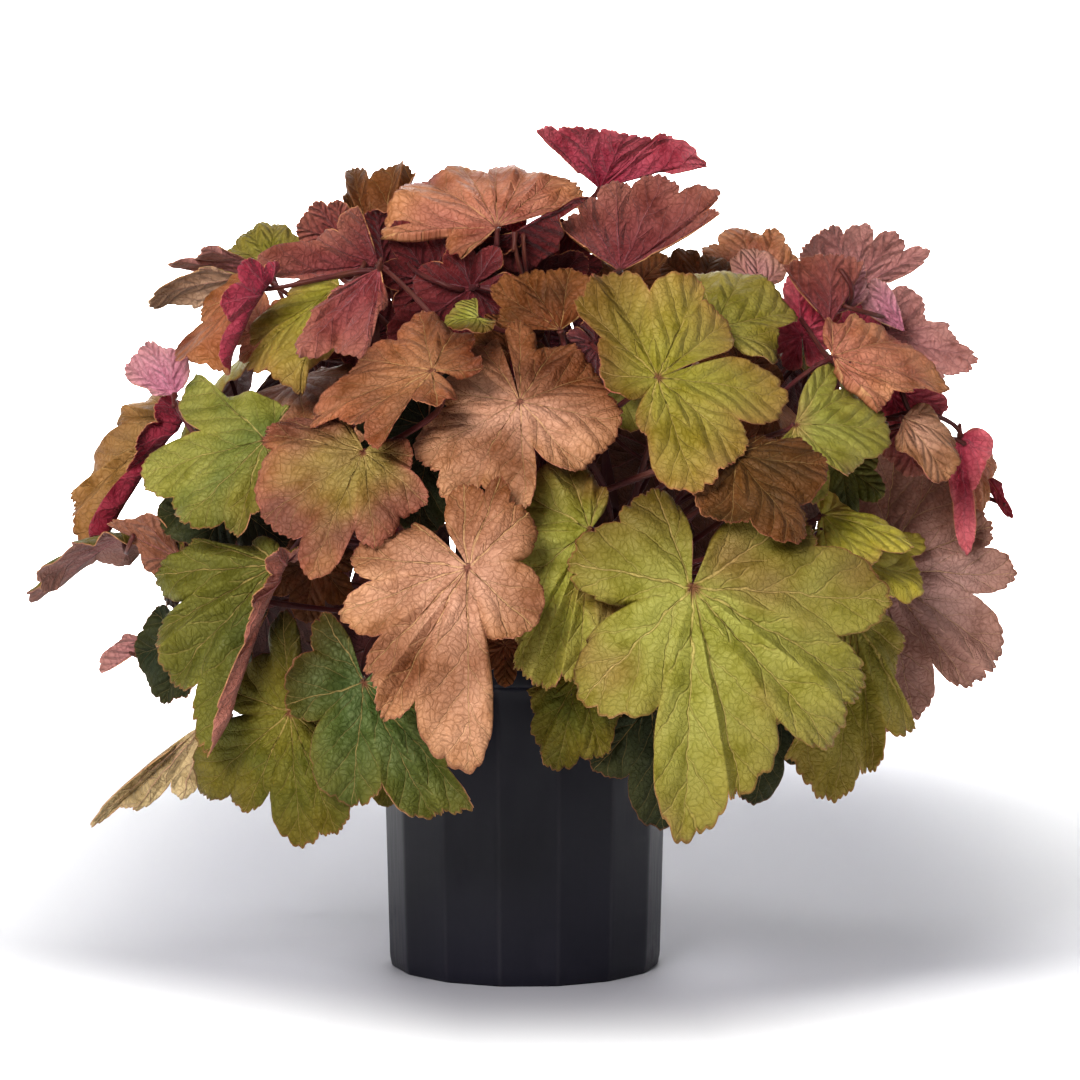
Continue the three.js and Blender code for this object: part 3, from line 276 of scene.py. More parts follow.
# ---- leaves: where each one grows --------------------------------------------------------------------------
# About a hundred palmate blades, each on a stalk from the crown. The ones towards the viewer are laid out one
# by one over a square front view. Those at the sides, back and top follow a rule, tier over tier.
VIEW = dict(eye=(8.5, -1800, 330), tilt=3.04, scale=3273, side=1080, middle=540)
LEAN = dict(out=0.4, up=0.6, low=150, span=250)  # how the leaves that face front turn up and out
# Angle from the midrib and share of the size at each lobe tip, and at the ends of the rim beside the stalk.
LOBES = [(-148, 0.54), (-101, 0.70), (-51, 0.84), (0, 1), (51, 0.84), (101, 0.70), (148, 0.54)]
SINUS, HIDDEN_SINUS = (176.5, 0.42), (176, 0.3)
NOTCH = 0.70  # distance of a notch, as a share of the mean of the tips beside it
LEAST_TURN = 3  # degrees from each notch to the next lobe tip, at least
SETTLE_STEPS = [3 * (i - 10) for i in range(30)]  # how far a leaf may have moved to find room, in millimetres
SETTLED = 0.6  # how near its rim then comes to that of its plain solid, at least, in millimetres
# piece | colouring | stalk in the view | nearness | way it faces | folds | bends | rim, notch and tip in turn
LEAVES = """
lime_fold   | limfold | 658,378 | 176 | 12 -100 25 | 0 0 | 12 8 | 735,350 795,384 742,415 746,448 717,474
  + 697,491 655,472 645,430 646,392 600,372 600,335 577,298 592,272 608,266 648,291 700,283 704,296 732,312
  + 733,345
tan_curl    | tan    | 735,455 | 186 | 5 -80 55 | 0 0 | 10 8 | 716,452 688,487 700,503 735,512 752,517
  + 803,531 803,499 827,466 815,452 800,430 780,437 765,432 748,438
lime_big    | lime   | 692,587 | 206 | 0 -100 12 | 0 -20 | 10 5 | 692,524 655,479 621,516 574,556 632,600
  + 586,697 660,708 692,838 733,797 746,790 780,718 838,742 850,703 872,680 843,633 893,597 817,545 806,512
  + 712,538
amber_low   | amber  | 468,567 | 210 | -5 -100 12 | 0 0 | 10 5 | 447,545 413,521 388,530 351,556 370,581
  + 338,610 380,635 365,668 376,688 380,715 413,701 465,768 485,636 531,625 518,559 527,510 510,503 500,478
  + 484,491 462,481 448,532
amber_up    | russet | 432,371 | 178 | -10 -80 60 | 0 0 | 10 8 | 458,372 482,368 470,347 456,321 440,318
  + 420,308 395,333 356,352 335,372 299,402 333,403 348,417 364,420 376,440 403,397 437,405 450,379
amber_mid   | amber  | 520,402 | 182 | 0 -90 40 | 0 0 | 12 8 | 498,330 480,335 474,360 436,390 446,402
  + 416,452 437,466 452,498 480,481 525,499 534,447 575,459 598,447 622,422 610,396 600,366 579,348 560,335
  + 538,340 520,312 505,324
olive_amber | olvamb | 364,452 | 186 | 0 -100 25 | 0 0 | 12 8 | 352,425 335,409 312,418 285,415 270,422
  + 262,431 270,447 260,512 300,533 305,569 352,527 372,541 397,512 424,498 409,469 412,453 372,443
lime_mid    | lime   | 590,530 | 172 | 0 -100 15 | 0 0 | 10 8 | 604,510 604,484 592,468 565,455 545,462
  + 522,490 525,530 506,592 520,645 516,662 530,676 548,681 562,671 580,677 600,654 634,640 626,600 640,575
  + 612,552
green_upl   | green  | 266,440 | 150 | -20 -100 25 | 0 0 | 12 8 | 262,420 287,404 218,392 183,360 197,428
  + 137,467 167,493 184,523 222,521 233,530 252,517 275,505 280,460
green_left  | greenD | 278,565 | 160 | -18 -100 10 | 118 0 | 10 5 | 276,548 246,541 218,547 187,536 176,549
  + 146,573 176,600 149,631 158,647 160,680 192,683 204,752 = 40 .30 100 .22 148 .16
green_low   | silver | 364,682 | 172 | 0 -100 10 | 0 0 | 10 5 | 350,640 322,612 312,650 287,705 319,720
  + 350,805 382,785 430,818 442,812 469,808 447,768 462,742 420,712 440,670 395,650
olive_low   | olive  | 290,712 | 152 | -5 -100 8 | 0 0 | 10 5 | 300,650 283,611 268,652 228,690 240,715
  + 188,796 222,797 244,811 268,792 298,846 319,834 335,832 350,800 372,780 345,745 365,700 325,680
lime_right  | lime   | 795,425 | 152 | 15 -100 30 | 0 0 | 12 8 | 800,400 838,362 836,388 858,386 872,393
  + 896,421 872,452 850,472 826,463 815,500 800,480 775,490 770,450
orange_right | orange | 833,357 | 120 | 15 -100 35 | 0 0 | 12 -8 | 826,340 832,317 848,318 862,305 870,318
  + 905,330 918,345 956,378 930,384 910,392 894,390 881,406 862,384 845,378 838,366
lime_r2     | limeB  | 822,515 | 138 | 5 -80 55 | 0 0 | 12 8 | 812,495 850,500 868,508 895,511 905,520
  + 921,530 885,545 872,563 845,560 830,575 812,550
lime_r2     | limeB  | 850,560 | 122 | 20 -60 80 | 0 0 | 0 0 | 925,530 0.55
amber_r     | amber  | 903,418 | 105 | 25 -100 30 | 0 0 | 15 5 | 915,405 935,410 945,420 963,437 962,455
  + 955,474 925,466 905,450 898,435
green_r     | olvU   | 850,612 | 132 | 15 -100 10 | 0 0 | 10 5 | 860,590 886,603 895,615 904,650 888,683
  + 920,727 886,731 886,770 868,770 850,800 825,790 806,757 812,735 790,720 815,660
far_right   | redU   | 960,436 |  62 | 10 100 0 | 0 0 | 10 0 | 972,428 990,456 973,492 967,552 953,505
  + 945,474 953,446
dark_r      | magU   | 905,425 |  88 | 0 100 10 | 0 0 | 10 0 | 886,428 879,452 893,463 915,476 930,474
  + 946,475 935,455
mauve_big   | mauve  | 878,570 |  60 | -15 -100 -5 | 0 0 | 10 5 | 880,525 856,500 870,470 900,440 930,465
  + 955,455 968,510 990,526 986,547 1016,575 975,594 1002,655 985,672 975,686 933,664 922,720 900,700
  + 885,740 868,690 850,720 850,640
far_right   | orange | 972,452 |  30 | 40 -100 0 | 0 0 | 10 0 | 975,438 985,436 992,450 1000,468 991,480
  + 992,500 985,511 981,535 966,530
far_right   | red    | 985,474 |  10 | -30 -100 -30 | 0 0 | 10 0 | 993,478 1004,484 1006,498 1015,518
  + 1000,508 990,490 985,484
brown_r     | brown  | 770,402 | 140 | 30 -100 0 | 0 0 | 10 5 | 752,396 770,398 776,410 777,440 765,455
  + 742,476 742,440 738,420 742,405
lime_back   | olvU   | 712,330 | 128 | 10 -80 55 | 0 0 | 12 8 | 690,300 703,263 722,266 745,270 768,279
  + 800,302 780,322 783,341 745,350
brown_mid   | brown  | 560,330 | 112 | -10 -100 10 | 0 0 | 5 5 | 580,315 600,300 590,280 570,268 545,270
  + 520,264 505,268 492,285 500,305 498,318 520,330
brown_mid   | lime   | 478,318 | 138 | 0 -70 70 | 0 0 | 10 0 | 468,300 475,293 455,305 444,318 450,327
  + 487,330 488,318
pink_mid    | brown  | 598,345 | 142 | 20 90 30 | 20 20 | 10 0 | 640,392 0.8
olive_mid   | dark   | 428,425 | 140 | 0 -100 10 | 0 0 | 10 5 | 418,540 0.9
dark_low_r  | dark   | 650,705 | 138 | 0 -100 5 | 0 0 | 10 5 | 665,828 0.8
olive_low_m | olive  | 580,672 | 148 | 0 -100 10 | 0 0 | 10 5 | 560,690 528,690 534,715 540,745 541,755
  + 556,771 580,758 602,757 612,745 621,715 610,680
olive_low_m | brown  | 505,645 | 128 | 0 -100 10 | 0 0 | 10 5 | 505,690 0.9
dark_low_r  | dark   | 765,700 | 115 | 0 -100 5 | 0 0 | 10 5 | 765,806 0.75
dark_r2     | greenD | 842,462 | 105 | 10 -100 5 | 0 0 | 10 5 | 850,525 0.9
pink_bl     | tanU   | 206,722 |  92 | 5 95 20 | 0 0 | 10 5 | 170,746 96,816 120,802 138,801 172,780
  + 182,797 205,765
dark_l      | dark   | 190,640 |  88 | -20 -100 0 | 0 0 | 10 5 | 165,605 150,612 140,630 134,655 148,688
  + 160,703 172,699 185,697 195,680
dark_l      | mauveU | 150,643 |  60 | 0 90 30 | 0 0 | 10 5 | 142,638 122,637 113,645 102,671 130,655
pink_l      | tan    | 182,560 | 100 | 20 95 20 | 0 0 | 10 5 | 170,525 140,515 125,517 111,522 130,535
  + 143,556 165,575
pink_l      | olive  | 130,532 |  62 | -30 10 90 | 0 0 | 10 5 | 34,576 0.5
olive_l     | dark   | 230,500 | 100 | 0 -100 0 | 0 0 | 10 5 | 175,490 154,515 165,535 200,548 235,540
  + 285,545 285,500
amber_farl  | ambred | 182,418 |  92 | -55 -100 15 | 115 0 | 10 5 | 168,398 129,387 113,403 108,415 117,425
  + 64,478 66,492 62,505 70,517 76,553 = 40 .34 100 .28 148 .20
pink_left   | pinkU  | 175,395 |  62 | 25 95 5 | 0 0 | 10 5 | 186,385 170,348 160,344 150,341 139,352
  + 128,366 132,383 150,387 156,396
mag_left    | magU   | 378,264 |  84 | 0 90 40 | 0 0 | 10 0 | 372,240 358,203 337,228 318,240 308,243
  + 249,271 272,277 300,269 345,262
mag_left    | magU   | 345,245 |  55 | 10 95 20 | 0 0 | 10 0 | 352,215 337,199 328,204 316,200 308,210
  + 298,224 305,245
mag_mid     | magU   | 380,268 | 128 | 30 90 0 | 0 0 | 10 0 | 385,285 380,310 372,340 366,359 335,350
  + 305,356 306,335 316,312 330,303 340,300 355,290
orange_left | orgred | 264,288 |  98 | -75 -100 20 | 112 0 | 10 0 | 250,276 225,275 208,287 192,305 196,316
  + 168,343 186,357 213,364 = 45 .42 100 .34 148 .24
lime_upl    | limfold | 340,287 | 112 | -15 -95 40 | 0 0 | 15 5 | 335,260 303,266 284,292 246,336 262,341
  + 235,353 262,363 288,377 302,362 312,345 345,320
mauve_topl  | mauveU | 262,270 |  48 | 0 60 70 | 0 0 | 10 5 | 245,262 222,243 214,246 203,237 195,252
  + 169,249 178,263 205,269 240,277
mauve_topl  | olvU   | 247,277 |  70 | 0 60 70 | 0 0 | 10 5 | 215,267 200,265 183,270 148,285 167,297
  + 195,301 222,290
lime_top    | olvU   | 268,263 |  15 | 5 -95 35 | 0 0 | 0 0 | 240,262 228,244 237,232 248,224 259,221
  + 275,219 287,224 298,234 296,252
orange_top  | orange | 497,227 |  78 | 0 -90 45 | 0 0 | 10 0 | 560,210 587,183 577,175 566,162 549,167
  + 533,143 519,146 495,139 487,158 462,149 443,160 420,165 400,192 381,228 447,223 462,253 480,240
mag_under   | wineU  | 515,232 |  62 | 0 70 70 | 0 0 | 5 0 | 560,205 587,190 560,212 530,262 500,250
  + 480,245 488,236
orange_up   | brown  | 378,262 |  22 | -20 -100 0 | 0 0 | 8 0 | 400,200 411,167 405,166 392,158 366,173
  + 341,147 342,175 340,180 350,198 360,225 365,250
mag_top     | magU   | 620,271 |  72 | -10 95 -25 | 0 0 | 5 0 | 585,250 560,228 578,215 580,203 596,198
  + 615,184 631,187 663,179 680,193 716,201 705,214 716,221 650,256
mag_under   | wineU  | 545,290 |  66 | 0 60 80 | 10 10 | 10 0 | 430,262 0.8
mag_low     | wineU  | 472,288 | 108 | 20 90 20 | 20 20 | 10 0 | 395,335 0.7
mag_crown   | roseU  | 600,189 |   0 | 5 85 55 | 0 0 | 5 0 | 586,164 538,125 557,127 579,123 600,128
  + 625,129 654,139 664,134 674,138 708,151 670,160
top_right   | brown  | 700,290 |  35 | 0 -100 25 | 0 0 | 10 0 | 668,275 665,258 675,250 692,245 701,253
  + 714,250 725,252 738,262 735,275
top_right   | orange | 757,285 |  18 | 0 -100 20 | 0 0 | 10 0 | 712,262 706,240 720,238 742,217 764,228
  + 778,221 787,238 800,250 800,262
top_right   | pink   | 758,290 |  60 | 0 -95 10 | 0 0 | 10 0 | 738,278 735,256 741,249 757,245 768,249
  + 784,266 780,282
mauve_tr    | mauveU | 850,292 |  28 | -20 90 30 | 0 0 | 10 0 | 800,262 800,242 815,230 830,223 842,231
  + 868,224 872,238 895,232 904,249 926,247 890,281
mag_tr      | magU   | 830,325 |  85 | 20 95 20 | 0 0 | 10 0 | 812,305 785,264 800,259 832,254 845,257
  + 863,264 838,290
mag_tr      | pinkU  | 830,316 |  90 | 0 95 0 | 0 0 | 10 0 | 827,290 860,263 866,275 868,290 848,310
mag_tr      | pinkU  | 905,332 |  72 | -10 95 10 | 0 0 | 10 0 | 900,310 872,278 866,290 860,300 880,322
mauve_tr    | mauveU | 880,335 |  50 | 0 95 15 | 0 0 | 10 0 | 885,300 905,286 924,300 926,320 934,322
  + 948,324 960,342 976,358 962,372 942,377 930,365
dark_r      | redU   | 888,388 |  76 | 0 90 30 | 0 0 | 10 0 | 944,405 0.9
olive_l     | brown  | 315,560 |  95 | 0 -100 0 | 0 0 | 10 5 | 300,625 1.0
olive_in    | brown  | 412,700 | 150 | 0 -100 0 | 0 0 | 10 5 | 418,742 1.0
olive_in    | olive  | 380,750 | 140 | 0 -100 0 | 0 0 | 10 5 | 385,812 0.8
mag_low     | wineU  | 432,282 |  40 | 0 90 30 | 0 0 | 10 0 | 398,222 0.9
orange_right | redU  | 802,335 |  62 | 0 90 20 | 0 0 | 10 0 | 798,268 0.8
top_right   | brown  | 632,292 |  34 | 0 -95 20 | 0 0 | 10 0 | 612,236 1.0
lime_upl    | orange | 268,335 |  62 | -20 -95 10 | 0 0 | 10 0 | 250,290 0.9
"""
# Each tier: leaves, height and distance out of stalk ends, upward pitch, size, middle and half of the arc.
BACK_TIERS = [
    (10, 206, 174, 6, 80, 180, 112), (9, 280, 164, 27, 84, 180, 108), (8, 342, 122, 48, 78, 180, 120),
    (5, 378, 62, 72, 70, 180, 130), (5, 322, 108, 64, 60, 0, 78)]
BACK_WIDE, BACK_PIECES, BACK_SEED = 1.22, 7, 101


def draw(seed, k):
    """Repeatable draw from 0 to 1: the k-th one of the leaf with this seed."""
    v = np.sin(seed * 12.9898 + k * 78.233) * 43758.5453
    return v - np.floor(v)


def stray(seed, k, span):
    """How far a measure strays from its mean: a draw spread evenly over a span about zero."""
    return span * (draw(seed, k) - 0.5)


def unit(v):
    """Vector of length one."""
    v = np.asarray(v, float)
    return v / np.linalg.norm(v)


def turn(v, axis, degrees):
    """Vector turned about a unit axis."""
    a = np.radians(degrees)
    return v * np.cos(a) + np.cross(axis, v) * np.sin(a) + axis * (axis @ v) * (1 - np.cos(a))


def sight(u, v):
    """Direction in which a position of the front view is seen."""
    t, up = np.radians(VIEW["tilt"]), VIEW["middle"] - v
    return unit([u - VIEW["middle"], VIEW["scale"] * np.cos(t) + up * np.sin(t),
                 up * np.cos(t) - VIEW["scale"] * np.sin(t)])


def ordinary_ring(seed, size, width):
    """Rim of a plain seven-lobed blade: angle and distance of notch and lobe tip in turn."""
    tips = []
    for j, (angle, reach) in enumerate(LOBES):
        a = np.radians(angle + stray(seed, j, 5))
        x, y = np.cos(a), width * np.sin(a)
        far = reach * (1 + stray(seed, 10 + j, 0.16)) * np.hypot(x, y) * size
        tips.append((np.degrees(np.arctan2(y, x)), far))
    rim = [(-SINUS[0], SINUS[1] * size)]
    for j, tip in enumerate(tips):
        rim.append(tip)
        if j + 1 < len(tips):
            after = tips[j + 1]
            far = NOTCH * (tip[1] + after[1]) / 2 * (1 + stray(seed, 20 + j, 0.2))
            rim.append(((tip[0] + after[0]) / 2, far))
    return np.array(rim + [(SINUS[0], SINUS[1] * size)])


def front_leaf(entry, seed):
    """A leaf read from its line of the layout."""
    def numbers(text):
        return [float(word) for word in text.replace(",", " ").split()]
    node, look, seat, near, face, fold, bend, rim = [part.strip() for part in entry.split("|")]
    eye, push = np.array(VIEW["eye"], float), sight(*numbers(seat))
    at = eye + push * (-float(near) - eye[1]) / push[1]
    up = unit(numbers(face))
    if up[1] < 0:
        rise = LEAN["up"] * np.clip((at[2] - LEAN["low"]) / LEAN["span"], 0, 1)
        up = up + [LEAN["out"] * at[0] / LEAN["span"], 0, rise]
    up = unit(up)
    leaf = dict(node="leaf_" + node, look=look, seed=seed, at=at, up=up, push=push, fold=numbers(fold),
                bend=numbers(bend), back=False)
    seen, _, hidden = rim.partition("=")
    spots = [numbers(spot) for spot in seen.split()]

    def arm(u, v):
        ray = sight(u, v)
        return eye + ray * ((at - eye) @ up) / (ray @ up) - at
    if len(spots) == 2:
        main = arm(*spots[0])
        leaf.update(tip=unit(main), size=np.linalg.norm(main))
        leaf["ring"] = ordinary_ring(seed, leaf["size"], spots[1][0])
        return leaf
    arms = [arm(*spot) for spot in spots]
    tips = arms[1::2]
    main = tips[-1] if hidden else max(tips, key=np.linalg.norm)
    chosen = next(i for i, one in enumerate(arms) if one is main)
    leaf["tip"] = unit(main)
    side = np.cross(up, leaf["tip"])
    # A half that is folded up looks narrower than it is, so its rim is laid out wider.
    wider = [1 / np.cos(0.8 * np.radians(min(abs(f), 60))) for f in leaf["fold"]]
    rim, before = [], 0
    for i, one in enumerate(arms):
        x, y = one @ leaf["tip"], one @ side
        y *= wider[0] if y > 0 else wider[1]
        a = np.degrees(np.arctan2(y, x))
        a += 360 * np.round((before - a) / 360) if i else 0
        before = a
        rim.append([a, np.hypot(x, y)])
    # Angles are counted from the main tip, and each is at least a little further from it than the one before.
    rim = np.array(rim)
    onward = -1 if rim[-1, 0] < rim[0, 0] else 1
    rim[:, 0] = onward * (rim[:, 0] - rim[chosen, 0])
    for i in range(chosen + 1, len(rim)):
        rim[i, 0] = max(rim[i, 0], rim[i - 1, 0] + LEAST_TURN)
    for i in range(chosen - 1, -1, -1):
        rim[i, 0] = min(rim[i, 0], rim[i + 1, 0] - LEAST_TURN)
    rim[:, 0] *= onward
    rim = rim[::-1] if rim[-1, 0] < rim[0, 0] else rim
    leaf["size"] = rim[:, 1].max()
    if hidden:
        # Lobes out of sight: angle and share of the size of each tip, with a notch halfway to it.
        extra, rows = numbers(hidden), rim.tolist()
        for angle, share in zip(extra[::2], extra[1::2]):
            r = share * leaf["size"]
            rows += [[(rows[-1][0] + angle) / 2, NOTCH * (rows[-1][1] + r) / 2], [angle, r]]
        rim = np.array(rows + [[HIDDEN_SINUS[0], HIDDEN_SINUS[1] * extra[-1] * leaf["size"]]])
    leaf["ring"] = rim
    return leaf


def back_leaves():
    """
    The leaves laid out by rule: each tier spreads its leaves over its arc, and each strays a little in place,
    pitch, turn and size. They are sorted round the plant into their pieces.
    """
    leaves = []
    for count, height, away, pitch, size, middle, half in BACK_TIERS:
        for i in range(count):
            seed = BACK_SEED + len(leaves)
            round_ = middle + half * (2 * (i + 0.5 + stray(seed, 50, 0.5)) / count - 1)
            out = np.array([np.sin(np.radians(round_)), -np.cos(np.radians(round_)), 0])
            p = np.radians(pitch + stray(seed, 51, 24))
            up = out * np.cos(p) + [0, 0, np.sin(p)]
            tip = turn(out * np.sin(p) - [0, 0, np.cos(p)], up, stray(seed, 52, 60))
            seat = out * away * (1 + stray(seed, 53, 0.16)) * [BACK_WIDE, 1, 1]
            at = seat + [0, 0, height + stray(seed, 54, 26)]
            length = size * (1 + stray(seed, 55, 0.3))
            leaves.append(dict(
                round=round_ % 360, look="back", seed=seed, at=at, up=up, tip=tip, size=length, back=True,
                fold=[-12 + stray(seed, 56, 20), -12 + stray(seed, 57, 20)], bend=[24, 10],
                push=unit([-out[0], -out[1], -0.25]),
                ring=ordinary_ring(seed, length, 0.9 + stray(seed, 58, 0.2))))
    leaves.sort(key=lambda leaf: leaf["round"])
    for i, leaf in enumerate(leaves):
        leaf["node"] = f"leaf_back_{1 + i * BACK_PIECES // len(leaves)}"
    return leaves


# ---- leaves: the form of a blade ---------------------------------------------------------------------------
# A thin leathery blade, pleated along its main veins and waved and toothed at the rim, with a tiny point on
# each rounded tooth. It is folded about its midrib and droops along it.
BLADE = 0.6  # thickness, millimetres
WIDE_LOBE = 36  # degrees; a wider lobe has five teeth, any other three
LARGE, MIDDLING = 80, 55  # sizes from which a fine blade has more points; large ones are domed, others hollow
PLAIN_LARGE, PLAIN_LARGEST, PLAIN_SMALL = 66, 76, 46  # sizes at which a plain blade has more or fewer points


def reach_at(angle, leaf, fine):
    """
    Distance from stalk to rim at each angle: from notch up to lobe tip and down again as one less a square,
    times rounded teeth; with it the place in the lobe, from -1 through 0 at the vein to 1, and the lobe.
    """
    ring = leaf["ring"]
    a = np.clip(angle, ring[0, 0], ring[-1, 0])
    lobe = np.clip(np.searchsorted(ring[2:-1:2, 0], a, side="right"), 0, len(ring) // 2 - 1)
    tip_at, tip = ring[2 * lobe + 1, 0], ring[2 * lobe + 1, 1]
    left = a < tip_at
    edge_at, edge = np.moveaxis(ring[2 * lobe + np.where(left, 0, 2)], -1, 0)
    p = np.minimum(1, np.abs(a - tip_at) / np.maximum(np.abs(edge_at - tip_at), 1e-6))
    teeth = np.where(ring[2 * lobe + 2, 0] - ring[2 * lobe, 0] > WIDE_LOBE, 5, 3)
    place = (np.where(left, -p, p) + 1) / 2 * teeth
    q = place - np.floor(place) - 0.5
    bulge = np.maximum(1 - 4 * q * q, 0)
    tooth = 1 + 0.06 * (bulge ** 0.7 - 0.6)
    if fine:  # the teeth are uneven, and each is nicked into a few blunt points
        uneven = 0.5 + 0.9 * draw(leaf["seed"] + lobe, 200 + np.floor(place))
        nicks = np.abs(np.sin(np.pi * (2.5 * place + 0.8 * draw(leaf["seed"] + lobe, 210 + np.floor(place)))))
        tooth = 1 + 0.045 * uneven * (bulge ** 0.5 - 0.66) + 0.026 * (nicks ** 0.8 - 0.62)
    return (edge + (tip - edge) * (1 - p * p)) * tooth, np.where(left, -p, p), lobe


VEIN_STEP, VEIN_SLANT, VEIN_CURVE = 0.19, 1.7, 1.5  # of side veins, in shares of the leaf's size


def puffed(leaf, angle, r, lobe):
    """
    How high the blade puffs up between its side veins, from 0 to 1: a cosine of the place between one and the
    next, which fades towards the lobe's own vein.
    """
    off = np.radians(angle - leaf["ring"][1 + 2 * lobe, 0])
    u, v = r / leaf["size"] * np.cos(off), r / leaf["size"] * np.sin(off)
    step = u - np.abs(v) * (VEIN_SLANT - VEIN_CURVE * np.abs(v)) + (v > 0) * VEIN_STEP / 2
    return (0.5 - 0.5 * np.cos(2 * np.pi * step / VEIN_STEP)) * np.minimum(1, np.abs(v) / 0.05)


def folded(y, degrees, crease):
    """
    Distance across and up, and lean, at y from the midrib of a half that is folded up: an arc as wide as the
    crease, then a straight run.
    """
    a = np.radians(degrees)
    if not a:
        return y, 0 * y, 0 * y
    lean, rest = a * np.minimum(y, crease) / crease, np.maximum(y - crease, 0)
    across = crease / a * np.sin(lean) + rest * np.cos(a)
    return across, crease / a * (1 - np.cos(lean)) + rest * np.sin(a), lean


def blade_surface(leaf, angle, share, fine=True):
    """
    Middle surface at angles from the midrib and shares of the way to the rim. Pleats that rise with the
    distance from each vein and waves that grow towards the rim are laid on a half-folded sheet, which is then
    bent along the midrib into an arc. A fine blade has more: ripples at its rim, lobes that heave up or down,
    a domed or hollow form between grooved veins, a drooping rim, puckers, puffs between its side veins, and
    a curl where the rim rolls over.
    """
    def phase(k):
        return WAVE * draw(seed, k)
    size, seed = leaf["size"], leaf["seed"]
    reach, s, lobe = reach_at(angle, leaf, fine)
    p, t, r = np.abs(s), np.radians(angle), reach * share
    x, y = r * np.cos(t), r * np.sin(t)
    pleats = 0.07 * r * (p ** 1.5 - 0.45) * np.minimum(1, r / (0.25 * size))
    waves = 0.04 * r * r / size * (np.sin(2 * t + phase(40)) + 0.7 * np.sin(5 * t + phase(41)))
    z = pleats + waves
    if fine:
        spot = 60 * draw(seed, 42)
        ripples = size * share ** 3 * (0.018 * np.sin(9 * t + phase(43)) + 0.011 * np.sin(16 * t + spot))
        heave = 0.11 * size * share ** 2 * (1 - p * p) * stray(seed + lobe, 48, 1)
        dome = (0.03 if size > LARGE else -0.03) * r * (p ** 1.3 - 0.4)
        droop = 0.03 * size * share ** 3
        groove = 0.5 * np.exp(-(p / 0.08) ** 2) * np.minimum(1, r / 6) * (1 - 0.7 * share)
        coarse, small = crumble(x + spot, y, 0.8 * size), crumble(y, x + spot, 0.21 * size)
        puckers = share * (0.024 * size * coarse + 0.004 * size * small)
        puff = puffed(leaf, angle, r, lobe) - 0.5
        puffs = 0.007 * size * puff * np.clip(4 * share, 0, 1) * (1.15 - share)
        rolled = np.clip(share - 0.78, 0, 1) / 0.22 * np.maximum(0, np.sin(3 * t + phase(46)))
        curl = (0.075 if draw(seed, 47) > 0.3 else -0.04) * size * rolled ** 2
        z = z + ripples + heave + dome - droop - groove + puckers + puffs - curl
    # A blade that is folded almost shut has a sharper crease.
    crease = (0.12 if max(map(abs, leaf["fold"])) > 90 else 0.30) * size
    halves = [folded(np.abs(y), degrees, crease) for degrees in leaf["fold"]]
    across, up, lean = [np.where(y >= 0, one, two) for one, two in zip(*halves)]
    k = np.maximum(np.radians(np.where(x >= 0, *leaf["bend"])) / size, 1e-9)
    a, h = k * x, up + z * np.cos(lean)
    along, sideways = np.sin(a) / k + h * np.sin(a), np.sign(y + 1e-12) * (across - z * np.sin(lean))
    rise = h * np.cos(a) - (1 - np.cos(a)) / k
    side = np.cross(leaf["up"], leaf["tip"])
    spread = along[..., None] * leaf["tip"] + sideways[..., None] * side
    return leaf["at"] + spread + rise[..., None] * leaf["up"]


def lobe_angles(leaf, stops):
    """Angles at the given places, -1 to 1, of every lobe in turn, and the last notch."""
    ring = leaf["ring"]
    rows = [ring[k + 1, 0] + abs(s) * (ring[k if s < 0 else k + 2, 0] - ring[k + 1, 0])
            for k in range(0, len(ring) - 2, 2) for s in stops(ring[k + 2, 0] - ring[k, 0] > WIDE_LOBE)]
    return np.array(rows + [ring[-1, 0]])


def coarse_points(leaf):
    """The blade's points in the plain solid: its stalk end, an inner ring, and its rim."""
    large = leaf["size"] > PLAIN_LARGE and not leaf["back"]
    small = leaf["size"] < PLAIN_SMALL or leaf["back"]

    def stops(wide):
        if large and wide and leaf["size"] > PLAIN_LARGEST:
            return [-1, -0.8, -0.4, 0, 0.4, 0.8]
        return [-1, -0.55, 0, 0.55] if large else [-1, -0.5, 0.5]
    rim = lobe_angles(leaf, stops)
    rows = [leaf["at"][None], blade_surface(leaf, rim, 1 + 0 * rim, fine=False)]
    if not small:
        inner = np.concatenate([rim[:1], leaf["ring"][1::2, 0], rim[-1:]])
        rows.append(blade_surface(leaf, inner, 0.52 + 0 * inner, fine=False))
    return np.concatenate(rows)


def nearest(points, others):
    """Distance from each point to the nearest of the others."""
    return np.sqrt(((points[:, None] - others[None]) ** 2).sum(-1)).min(1)


def solid_points(node):
    """Distinct corners of a plain solid, in millimetres."""
    return np.unique(np.round(points_of(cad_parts[node].data), 3), axis=0)


# Each leaf settled along its line of sight until it had room, by a distance read from its plain solid.
corners = {node: solid_points(node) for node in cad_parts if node.startswith("leaf_") or node == "crown"}
grown = []
lines = LEAVES.replace("\n  + ", " ").strip().split("\n")
for leaf in [front_leaf(line, 1 + i) for i, line in enumerate(lines)] + back_leaves():
    mark = blade_surface(leaf, leaf["ring"][::2, 0], 1 + 0 * leaf["ring"][::2, 0], fine=False)
    off = [nearest(mark + d * leaf["push"], corners[leaf["node"]]).max() for d in SETTLE_STEPS]
    best = int(np.argmin(off))
    if off[best] < SETTLED:
        leaf["at"] = leaf["at"] + SETTLE_STEPS[best] * leaf["push"]
        grown.append(leaf)
    elif not leaf["back"]:
        raise ValueError(f"{leaf['node']} doesn't match its solid: {off[best]:.2f} mm")

